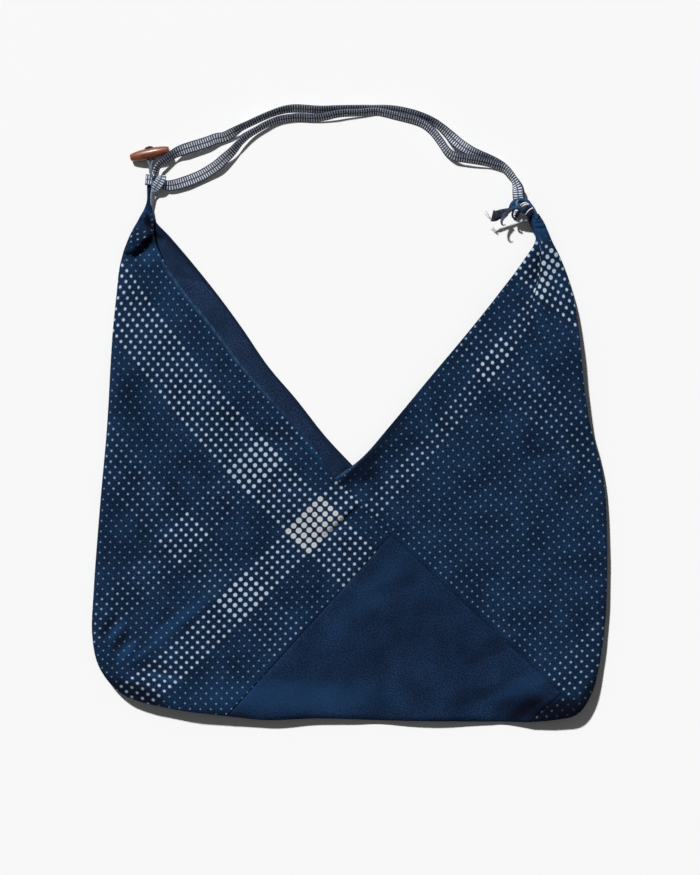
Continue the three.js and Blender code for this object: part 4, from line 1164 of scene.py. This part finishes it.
def sheet_piece(name, panel, outer, inner, wear_and_highlight, rim_shade_widths):
    """A panel's grid, thickened: the outer face, the inner face and the rim.

    Its two short tables run over the sections: how worn the mouth edge is in front, or near the right
    mouth's corner how strong a painted highlight is there, and how wide a rim of painted shade lies inside.
    """
    grid = panel.grid
    rows, columns, _ = grid.shape
    down, along = np.gradient(grid, axis=0), np.gradient(grid, axis=1)
    normal = unit(np.cross(along, down)) * -panel.hand
    hem = np.clip(1 - panel.mouth / HEM_WIDTH, 0, 1)
    thick = CLOTH + (HEM - CLOTH) * np.minimum(hem * 4, 1)
    half = normal * (thick / 2)[..., None]
    points = np.vstack([(grid + half).reshape(-1, 3), (grid - half).reshape(-1, 3)])
    points[:, 2] = np.maximum(points[:, 2], 0)
    total = rows * columns
    index = np.arange(total).reshape(rows, columns)
    corners = [index[:-1, :-1], index[:-1, 1:], index[1:, 1:], index[1:, :-1]]
    quads = np.stack(corners, axis=-1).reshape(-1, 4)
    rim = np.concatenate([index[0, :-1], index[:-1, -1], index[-1, :0:-1], index[:0:-1, 0]])
    following = np.roll(rim, -1)
    sides = np.stack([rim, rim + total, following + total, following], axis=1)
    if panel.hand < 0:
        faces = [quads, quads[:, ::-1] + total, sides]
    else:
        faces = [quads[:, ::-1], quads + total, sides[:, ::-1]]
    slots = np.repeat([0, 1, 1], [len(part) for part in faces])
    facing = np.arange(columns) < columns // 2
    # Wear on the left mouth, a painted highlight near the right mouth's corner
    worn = np.interp(panel.rows, *zip(*wear_and_highlight))[:, None] * facing
    numbers = {
        "mouth": np.tile(panel.mouth.ravel(), 2),
        "seam": np.tile(panel.seam.ravel(), 2),
        "wear_and_highlight": np.concatenate([worn.ravel(), np.zeros(total)]),
    }
    front = np.tile(np.arange(columns) <= FRONT_COLUMNS + FOLD_COLUMNS, rows)
    x, y = grid[..., 0].ravel(), grid[..., 1].ravel()
    side, share = nearest_fold(x, y)
    outside, within = painted_shade_and_light_at(x, y, inside=False), painted_shade_and_light_at(x, y, inside=True)
    numbers["fold_side"] = np.tile(side, 2)
    numbers["fold_shade_share"] = np.concatenate([share * front, np.zeros(total)])
    # Painted shade, painted light and faded dots, on the front and on the inner face
    numbers["hollow"] = np.concatenate([outside["dark"] * front, within["dark"]])
    numbers["painted_light"] = np.concatenate([outside["painted_light"] * front, within["painted_light"]])
    numbers["bare"] = np.tile(outside["bare"], 2)
    # How wide the rim of painted shade along the mouth is
    numbers["rim"] = np.tile(np.repeat(np.interp(panel.rows, *zip(*rim_shade_widths)), columns), 2)
    uv = np.tile(panel.dots.reshape(-1, 2), (2, 1))
    return mesh_piece(name, points, np.vstack(faces), [outer, inner], slots, uv, numbers)


def hem_line(panel, edge, depth):
    """Points along the inner face of a mouth hem, depth in from its front or back edge."""
    side = 1 if edge == "front" else -1
    grid, mouth = panel.grid[:, ::side], panel.mouth[:, ::side]
    half = grid.shape[1] // 3
    points = []
    for row, distance in zip(grid[:, :half], mouth[:, :half]):
        if distance[0] < 0.01 and distance[-1] > depth:
            points.append([np.interp(depth, distance, row[:, axis]) for axis in range(3)])
    points = np.array(points)
    points[:, 2] -= side * (HEM + STITCH_THICK / 2) / 2
    return points


def stitch_tree():
    """Stitches that follow a line, each a short rounded thread."""
    tree = bpy.data.node_groups.new("hem stitches", "GeometryNodeTree")
    sockets = tree.interface
    sockets.new_socket("Line", in_out="INPUT", socket_type="NodeSocketGeometry")
    for name in ("Spacing", "Stitch length", "Thread thickness"):
        sockets.new_socket(name, in_out="INPUT", socket_type="NodeSocketFloat")
    sockets.new_socket("Thread", in_out="INPUT", socket_type="NodeSocketMaterial")
    sockets.new_socket("Stitches", in_out="OUTPUT", socket_type="NodeSocketGeometry")
    given, result = tree.nodes.new("NodeGroupInput"), tree.nodes.new("NodeGroupOutput")
    curve = tree.nodes.new("GeometryNodeMeshToCurve")
    along = tree.nodes.new("GeometryNodeCurveToPoints")
    along.mode = "LENGTH"
    thread = tree.nodes.new("GeometryNodeMeshUVSphere")
    thread.inputs["Segments"].default_value = 8
    thread.inputs["Rings"].default_value = 6
    thread.inputs["Radius"].default_value = 0.5
    size = tree.nodes.new("ShaderNodeCombineXYZ")
    row = tree.nodes.new("GeometryNodeInstanceOnPoints")
    rounded = tree.nodes.new("GeometryNodeSetShadeSmooth")
    real = tree.nodes.new("GeometryNodeRealizeInstances")
    dyed = tree.nodes.new("GeometryNodeSetMaterial")
    for source, target in (
        (given.outputs["Line"], curve.inputs["Mesh"]),
        (curve.outputs["Curve"], along.inputs["Curve"]),
        (given.outputs["Spacing"], along.inputs["Length"]),
        (given.outputs["Thread thickness"], size.inputs["X"]),
        (given.outputs["Thread thickness"], size.inputs["Y"]),
        (given.outputs["Stitch length"], size.inputs["Z"]),
        (along.outputs["Points"], row.inputs["Points"]),
        (along.outputs["Rotation"], row.inputs["Rotation"]),
        (thread.outputs["Mesh"], rounded.inputs["Geometry"]),
        (rounded.outputs["Geometry"], row.inputs["Instance"]),
        (size.outputs["Vector"], row.inputs["Scale"]),
        (row.outputs["Instances"], real.inputs["Geometry"]),
        (real.outputs["Geometry"], dyed.inputs["Geometry"]),
        (given.outputs["Thread"], dyed.inputs["Material"]),
        (dyed.outputs["Geometry"], result.inputs["Stitches"]),
    ):
        tree.links.new(source, target)
    return tree


def stitched(name, points, tree, thread):
    """A row of stitches along a line of points."""
    line = bpy.data.meshes.new(name)
    steps = [(n, n + 1) for n in range(len(points) - 1)]
    line.from_pydata([tuple(point) for point in world(points)], steps, [])
    piece = bpy.data.objects.new(name, line)
    bpy.context.scene.collection.objects.link(piece)
    growth = piece.modifiers.new("stitches", "NODES")
    growth.node_group = tree
    values = {
        "Spacing": STITCH_SPACING * MM,
        "Stitch length": STITCH_LENGTH * MM,
        "Thread thickness": STITCH_THICK * MM,
        "Thread": thread,
    }
    for item in tree.interface.items_tree:
        if item.name in values:
            growth[item.identifier] = values[item.name]
    view = bpy.context.evaluated_depsgraph_get()
    stitches = bpy.data.meshes.new_from_object(piece.evaluated_get(view), depsgraph=view)
    piece.modifiers.remove(growth)
    piece.data = stitches
    return piece


# Finishes

class Finish:
    """A material and short ways to add nodes to it."""

    def __init__(self, name, **sockets):
        self.material = bpy.data.materials.new(name)
        self.material.use_nodes = True
        self.tree = self.material.node_tree
        self.shader = self.tree.nodes["Principled BSDF"]
        for socket, value in sockets.items():
            self.shader.inputs[socket.replace("_", " ")].default_value = value

    def node(self, kind, inputs=None, **settings):
        made = self.tree.nodes.new("ShaderNode" + kind)
        for name, value in settings.items():
            setattr(made, name, value)
        for key, value in (inputs or {}).items():
            self.put(value, made.inputs[key])
        return made

    def put(self, value, socket):
        if isinstance(value, bpy.types.NodeSocket):
            self.tree.links.new(value, socket)
        else:
            socket.default_value = value

    def math(self, operation, *values):
        made = self.node("Math", dict(enumerate(values)), operation=operation)
        return made.outputs[0]

    def between(self, value, low, high, to_low=0.0, to_high=1.0):
        """Eases from one number to another as value goes from low to high."""
        inputs = {"Value": value, "From Min": low, "From Max": high, "To Min": to_low, "To Max": to_high}
        return self.node("MapRange", inputs, interpolation_type="SMOOTHSTEP").outputs["Result"]

    def blend(self, share, first, second, kind="MIX"):
        made = self.node("Mix", data_type="RGBA", blend_type=kind)
        self.put(share, made.inputs[0])
        self.put(first, made.inputs[6])
        self.put(second, made.inputs[7])
        return made.outputs[2]

    def number(self, name):
        return self.node("Attribute", attribute_name=name).outputs["Fac"]

    def cloth_place(self, stretch=(1, 1, 1)):
        on_cloth = self.node("UVMap", uv_map="cloth").outputs["UV"]
        if stretch == (1, 1, 1):
            return on_cloth
        return self.node("Mapping", {"Vector": on_cloth, "Scale": stretch}).outputs["Vector"]

    def noise(self, on_cloth, scale, detail=2.0):
        inputs = {"Vector": on_cloth, "Scale": scale, "Detail": detail}
        return self.node("TexNoise", inputs).outputs["Fac"]

    def bump(self, height, distance, strength=1.0):
        inputs = {"Height": height, "Distance": distance, "Strength": strength}
        self.put(self.node("Bump", inputs).outputs["Normal"], self.shader.inputs["Normal"])


def tone(red, green, blue):
    """A colour as seen, from 0 to 255, as light."""
    def light(value):
        value /= 255
        return value / 12.92 if value <= 0.04045 else ((value + 0.055) / 1.055) ** 2.4

    return (light(red), light(green), light(blue), 1.0)


NAVY = tone(18, 39, 64)
DEEP_NAVY = tone(10, 27, 49)
PLAIN_NAVY = tone(18, 35, 59)
INNER_NAVY = tone(27, 42, 66)
# Pale line along a mouth edge: wear on the left, a painted highlight near the right mouth's corner
WEAR_AND_HIGHLIGHT_BLUE = tone(58, 92, 126)
# Colour of painted light on ridges
PAINTED_LIGHT_BLUE = tone(32, 68, 108)
THREAD_NAVY = tone(24, 38, 68)
WARM_TINT = (1.22, 0.94, 1.04, 1)
TEAL_TINT = (0.78, 1.06, 0.96, 1)
DOT_WHITE = tone(170, 184, 199)
BOLD_WHITE = tone(178, 181, 184)
SMALL_DOT_BLUE = tone(112, 134, 160)
HEM_DARK = tone(8, 16, 34)
# Colour of the painted shade along the mouth, inside
RIM_SHADE_NAVY = tone(20, 32, 53)
# Colour of the painted shade in sharp folds
FOLD_SHADE_BLACK = tone(3, 6, 16)
# Colour of painted shade in hollows and on shaded dots
PAINTED_SHADE_DARK = tone(7, 10, 24)
TAPE_NAVY = tone(60, 74, 102)
TAPE_SLATE = tone(62, 70, 92)
TAPE_WHITE = tone(222, 222, 222)
KNOT_TAPE_PALE = tone(193, 200, 207)
TAPE_EDGE_GREY = tone(122, 130, 141)
KNOT_TAPE_BLUE = tone(67, 80, 106)
CORD_GREY = tone(84, 92, 104)
CORD_DARK = tone(44, 38, 52)
WOOD_RED = tone(146, 76, 36)
WOOD_DARK = tone(80, 34, 18)
FRAY_WHITE = tone(174, 172, 180)
KNOT_NAVY = tone(40, 70, 101)
# Knotted cotton with painted light, with painted shade, and in a painted shadow colour
KNOT_LIT = tone(100, 126, 152)
KNOT_DARK = tone(27, 31, 49)
KNOT_SHADE = tone(62, 68, 73)
TIE_SLATE = tone(62, 66, 82)


def weave(finish, color):
    """Threads, slubs, a fine speckle and small shifts of hue over a cloth's colour."""
    along = finish.noise(finish.cloth_place((1.1, 9, 1)), 1.6)
    across = finish.noise(finish.cloth_place((9, 1.1, 1)), 1.6)
    threads = finish.between(finish.math("ADD", along, across), 0.7, 1.3, 0.8, 1.22)
    specks = finish.between(finish.noise(finish.cloth_place(), 6.0, 3.0), 0.3, 0.7, 0.3, 1.85)
    patches = finish.between(finish.noise(finish.cloth_place(), 0.22), 0.3, 0.7, 0.76, 1.2)
    shade = finish.math("MULTIPLY", finish.math("MULTIPLY", threads, specks), patches)
    hue = finish.between(finish.noise(finish.cloth_place(), 2.6, 2.0), 0.35, 0.65)
    tint = finish.blend(hue, WARM_TINT, TEAL_TINT)
    grey = finish.node("CombineColor", {0: shade, 1: shade, 2: shade}).outputs[0]
    return finish.blend(1.0, color, finish.blend(1.0, grey, tint, "MULTIPLY"), "MULTIPLY")


def weave_relief(finish, distance=0.00025):
    """Crossing threads as relief."""
    on_cloth = finish.cloth_place()
    parts = finish.node("SeparateXYZ", {0: on_cloth})
    one = finish.math("SINE", finish.math("MULTIPLY", parts.outputs[0], THREADS))
    two = finish.math("SINE", finish.math("MULTIPLY", parts.outputs[1], THREADS))
    woven = finish.math("MULTIPLY", one, two)
    lumps = finish.noise(on_cloth, 5.0, 4.0)
    height = finish.math("ADD", finish.math("MULTIPLY", woven, 0.3), lumps)
    finish.bump(height, distance)


def edge_marks(finish, color):
    """The pale worn line along a mouth edge, which near the right mouth's corner is a painted highlight, and
    the dark line of a seam.
    """
    mouth, seam, wear_and_highlight = finish.number("mouth"), finish.number("seam"), finish.number("wear_and_highlight")
    patchy = finish.between(finish.noise(finish.cloth_place(), 1.3), 0.3, 0.68, 0.3, 1.3)
    line = finish.math("MULTIPLY", finish.between(mouth, 4.0, 0.8), wear_and_highlight)
    color = finish.blend(finish.math("MULTIPLY", line, patchy), color, WEAR_AND_HIGHLIGHT_BLUE)
    return finish.blend(finish.between(seam, 1.0, 0.2, 0.0, 0.35), color, HEM_DARK)


def painted_fold_shade(finish, color):
    """Paints shade into the bottoms of the sharp folds."""
    side = finish.math("ABSOLUTE", finish.number("fold_side"))
    line = finish.math("MULTIPLY", finish.between(side, 0.95, 0.2), finish.number("fold_shade_share"))
    return finish.blend(line, color, FOLD_SHADE_BLACK)


def shaded(finish, color):
    """Paints light on the ridges and shade on the places that lie in a hollow."""
    color = finish.blend(finish.number("painted_light"), color, PAINTED_LIGHT_BLUE)
    return finish.blend(finish.number("hollow"), color, PAINTED_SHADE_DARK)


def dotted_cotton(name, rules):
    finish = Finish(name, Roughness=0.88, Specular_IOR_Level=0.05)
    parts = finish.node("SeparateXYZ", {0: finish.cloth_place()})
    counts, offsets, shares = [], [], []
    for socket, way, pitch in ((0, "along", ALONG_PITCH), (1, "across", ACROSS_PITCH)):
        dots = parts.outputs[socket]
        count = finish.math("ROUND", dots)
        offset = finish.math("MULTIPLY", finish.math("SUBTRACT", dots, count), pitch)
        share = SMALL_SHARE
        for band in rules[way]:
            middle = (band["first"] + band["last"]) / 2
            half = (band["last"] - band["first"]) / 2 + 0.5
            inside = finish.math("COMPARE", count, middle, half)
            share = finish.math("MULTIPLY_ADD", inside, band["share"] - SMALL_SHARE, share)
        counts.append(count)
        offsets.append(offset)
        shares.append(share)
    which = finish.node("CombineXYZ", {0: counts[0], 1: counts[1]}).outputs[0]
    uneven = finish.node("TexWhiteNoise", {"Vector": which}, noise_dimensions="2D").outputs["Value"]
    inputs = {"Value": uneven, "To Min": HALF_SHARES[0], "To Max": HALF_SHARES[1]}
    half_share = finish.node("MapRange", inputs).outputs["Result"]
    total = finish.math("MULTIPLY", *shares)
    radius = finish.math("MULTIPLY", total, half_share)
    squares = [finish.math("MULTIPLY", offset, offset) for offset in offsets]
    distance = finish.math("SQRT", finish.math("ADD", *squares))
    ragged = finish.math("MULTIPLY_ADD", finish.noise(finish.cloth_place(), 14.0), 0.5, -0.25)
    past = finish.math("SUBTRACT", finish.math("ADD", distance, ragged), radius)
    dot = finish.between(past, 0.6, -0.6)
    pale = finish.blend(finish.between(total, *PALE_FROM), SMALL_DOT_BLUE, DOT_WHITE)
    pale = finish.blend(finish.between(total, *BOLD_FROM), pale, BOLD_WHITE)
    ringed = finish.math("MULTIPLY", finish.between(total, *RINGED_FROM), HEART_SHARE)
    heart = finish.math("MULTIPLY", finish.between(distance, 1.1, 0.3), ringed)
    pale = finish.blend(heart, pale, NAVY)
    ground = weave(finish, finish.blend(finish.noise(finish.cloth_place(), 0.35), DEEP_NAVY, NAVY))
    ground = edge_marks(finish, ground)
    shown = finish.math("MULTIPLY", dot, finish.math("SUBTRACT", 1.0, finish.number("bare")))
    # Painted shade darkens the dots as well as the ground.
    in_painted_shade = finish.math("MULTIPLY", finish.number("hollow"), DOT_DIMMING)
    dimmed = finish.blend(in_painted_shade, pale, PAINTED_SHADE_DARK)
    color = painted_fold_shade(finish, finish.blend(shown, shaded(finish, ground), dimmed))
    finish.put(color, finish.shader.inputs["Base Color"])
    weave_relief(finish)
    return finish.material


def plain_cotton(name, color, marks=True, painted_rim_shade=False):
    finish = Finish(name, Roughness=0.9, Specular_IOR_Level=0.05)
    ground = weave(finish, color)
    if marks:
        ground = painted_fold_shade(finish, shaded(finish, edge_marks(finish, ground)))
    # A rim of painted shade along the mouth on the inner face.
    if painted_rim_shade:
        within = finish.math("SUBTRACT", finish.number("mouth"), finish.number("rim"))
        ground = finish.blend(finish.between(within, 1.0, -1.2, 0.0, 0.9), ground, RIM_SHADE_NAVY)
    finish.put(ground, finish.shader.inputs["Base Color"])
    weave_relief(finish)
    return finish.material


def woven_tape(name, dash_color, ground_color):
    """A navy tape with two columns of white dashes across it."""
    finish = Finish(name, Roughness=0.8, Specular_IOR_Level=0.1)
    parts = finish.node("SeparateXYZ", {0: finish.cloth_place()})
    aside = finish.math("ABSOLUTE", parts.outputs[0])
    jitter = finish.math("MULTIPLY_ADD", finish.noise(finish.cloth_place(), 0.9), 0.5, -0.25)
    past_middle = finish.between(aside, DASH_INNER - 0.2, DASH_INNER + 0.35)
    ragged = finish.math("ADD", aside, jitter)
    column = finish.math("MULTIPLY", past_middle, finish.between(ragged, DASH_OUTER + 0.3, DASH_OUTER - 0.3))
    turn = finish.math("MULTIPLY", parts.outputs[1], 2 * math.pi / DASH_PITCH)
    wave = finish.math("SINE", finish.math("ADD", turn, jitter))
    dash = finish.math("MULTIPLY", column, finish.between(wave, -0.25, 0.45))
    ground = finish.blend(finish.between(wave, -1, 0, 0.0, 0.5), ground_color, TAPE_SLATE)
    worn = finish.noise(finish.cloth_place(), 0.35, 3.0)
    thin = tuple(value * WORN_DASH for value in dash_color[:3]) + (1,)
    pale = finish.blend(finish.between(worn, 0.3, 0.6), thin, dash_color)
    finish.put(finish.blend(dash, ground, pale), finish.shader.inputs["Base Color"])
    finish.bump(finish.math("ADD", dash, finish.math("MULTIPLY", wave, 0.5)), 0.0003)
    return finish.material


def plain_cord(name, color):
    finish = Finish(name, Roughness=0.85, Specular_IOR_Level=0.1)
    shade = finish.noise(finish.cloth_place(), 1.4, 3.0)
    light = tuple(min(value * LIGHTEST, 1) for value in color[:3]) + (1,)
    dark = tuple(value * DARKEST for value in color[:3]) + (1,)
    varied = finish.blend(finish.between(shade, 0.35, 0.65), dark, light)
    finish.put(varied, finish.shader.inputs["Base Color"])
    finish.bump(shade, 0.0003)
    return finish.material


def turned_wood(name):
    """Red wood with a little grain under a clear gloss."""
    finish = Finish(name, Roughness=0.42, Specular_IOR_Level=0.5, Coat_Weight=0.4, Coat_Roughness=0.16)
    grain = finish.noise(finish.cloth_place((0.12, 1.1, 1)), 1.0, 5.0)
    color = finish.blend(finish.between(grain, 0.35, 0.68), WOOD_DARK, WOOD_RED)
    finish.put(color, finish.shader.inputs["Base Color"])
    finish.bump(grain, 0.00012, 0.5)
    return finish.material


# View, floor and light

def look_straight_down():
    data = bpy.data.cameras.new("view")
    data.sensor_width = SENSOR
    data.lens = SENSOR * (VIEW_HEIGHT - VIEW_PLANE) / VIEW_SPAN
    data.clip_end = 10
    camera = bpy.data.objects.new("view", data)
    camera.location = world([*VIEW_CENTRE, VIEW_HEIGHT])[0]
    bpy.context.scene.collection.objects.link(camera)
    bpy.context.scene.camera = camera


def lay_floor():
    finish = Finish("pale surface", Roughness=0.9, Base_Color=FLOOR_COLOR)
    corners = [(x * FLOOR_HALF, y * FLOOR_HALF, 0) for x, y in ((-1, -1), (1, -1), (1, 1), (-1, 1))]
    mesh_piece("surface", corners, [(0, 1, 2, 3)], [finish.material])


def light_up():
    data = bpy.data.lights.new("sun", "SUN")
    data.energy = SUN_ENERGY
    data.angle = math.radians(SUN_ANGLE)
    sun = bpy.data.objects.new("sun", data)
    sun.rotation_euler = Vector(SUN_FROM).to_track_quat("Z", "Y").to_euler()
    bpy.context.scene.collection.objects.link(sun)
    sky = bpy.data.worlds.new("room")
    sky.use_nodes = True
    background = sky.node_tree.nodes["Background"]
    background.inputs["Color"].default_value = (1, 1, 1, 1)
    background.inputs["Strength"].default_value = ROOM_LIGHT
    bpy.context.scene.world = sky
    bpy.context.scene.view_settings.view_transform = "Standard"


look_straight_down()
lay_floor()
light_up()

# The three lengths of cloth
inner_face = plain_cotton("inner face of the cotton", INNER_NAVY, painted_rim_shade=True)
plain_face = plain_cotton("plain indigo cotton", PLAIN_NAVY)
left_face = dotted_cotton("dotted indigo cotton, left", LEFT_RULES)
right_face = dotted_cotton("dotted indigo cotton, right", RIGHT_RULES)
left = Panel(LEFT_SECTIONS, LEFT_CLOTH, corner=10, hand=-1, turn="back")
right = Panel(RIGHT_SECTIONS, RIGHT_CLOTH, corner=9, hand=1, turn="front")
base = Panel(BASE_SECTIONS, BASE_CLOTH, seams=("first", "last"))
thread = plain_cord("indigo sewing thread", THREAD_NAVY)
stitches = stitch_tree()
for name, panel, outer, wear_and_highlight, rim, slot, flat in (
    ("left_panel", left, left_face, LEFT_WEAR, LEFT_RIM_SHADE, "dotted_cotton", LEFT_CUT),
    ("right_panel", right, right_face, RIGHT_PAINTED_HIGHLIGHT, NO_RIM, "dotted_cotton", RIGHT_CUT),
    ("base_panel", base, plain_face, NO_RIM, NO_RIM, "plain_cotton", BASE_CUT),
):
    cloth = sheet_piece("cloth_" + name, panel, outer, inner_face, wear_and_highlight, rim)
    hold(cloth, slot, name)
    rows = []
    for edge in ("front", "back") if panel.corner else ():
        line = hem_line(panel, edge, HEM_STITCH_DEPTH)
        row = stitched(f"hem_stitches_{name}_{edge}", line, stitches, thread)
        hold(row, slot)
        rows.append(row)

# The strap
tape_outline = flat_outline(16, 5)
tape = woven_tape("woven tape", TAPE_WHITE, TAPE_NAVY)
upper, lower = even_path(UPPER_RUN, TAPE_STEP), even_path(LOWER_RUN, TAPE_STEP)
strap = swept_piece("strap", doubled(upper, lower), tape_outline, tape)
hold(strap, "woven_tape", "strap_tape")

# The left knot
tape_edge = plain_cord("tape seen from its edge", TAPE_EDGE_GREY)
knot_tape = woven_tape("woven tape, pulled tight", KNOT_TAPE_PALE, KNOT_TAPE_BLUE)
for name, rows, node, finish in (
    ("tape_wrap", TAPE_WRAP, None, knot_tape),
    ("tape_stub", TAPE_STUB, "tape_knot", knot_tape),
    ("tape_loop_strand", TAPE_LOOP, "tape_loop", tape_edge),
):
    piece = swept_piece(name, even_path(rows, TAPE_STEP), tape_outline, finish)
    hold(piece, "woven_tape", *([node] if node else []))

# The right knot
# Besides the plain knotted cotton: copies of it with painted light and with painted shade, a painted shadow
# colour, the torn ties and the frayed threads.
kinds = {
    "cotton": plain_cotton("knotted cotton", KNOT_NAVY, marks=False),
    "painted_light": plain_cotton("knotted cotton in the light", KNOT_LIT, marks=False),
    "dark": plain_cotton("knotted cotton in the shade", KNOT_DARK, marks=False),
    "tie": plain_cord("torn cotton", TIE_SLATE),
    "shade": plain_cotton("knotted cotton in painted shadow", KNOT_SHADE, marks=False),
    "pale": plain_cord("frayed threads", FRAY_WHITE),
}
knot_outline = flat_outline(28, 2.4)
for one in KNOT_STRANDS:
    path = even_path(one["rows"], KNOT_STEP)
    finish = kinds[one["kind"]]
    piece = swept_piece(one["name"], path, knot_outline, finish, one["folds"], 1 / DOT_PITCH)
    hold(piece, "plain_cotton", *([one["node"]] if one["node"] else []))

# The toggle and its cord
hold(turned_toggle(), "turned_wood", "toggle")
cord_finish = plain_cord("grey-blue cord", CORD_GREY)
dark_cord = plain_cord("dark cord", CORD_DARK)
cord_outline = flat_outline(12, 2)
for name, rows, finish in (
    ("toggle_cord_left", LEFT_CORD, cord_finish),
    ("toggle_cord_right", RIGHT_CORD, cord_finish),
    ("toggle_cord_knot", CORD_KNOT, dark_cord),
):
    piece = swept_piece(name, even_path(rows, CORD_STEP), cord_outline, finish, pleats=CORD_PLIES)
    hold(piece, "pale_cord", *(["toggle_cord"] if finish is dark_cord else []))
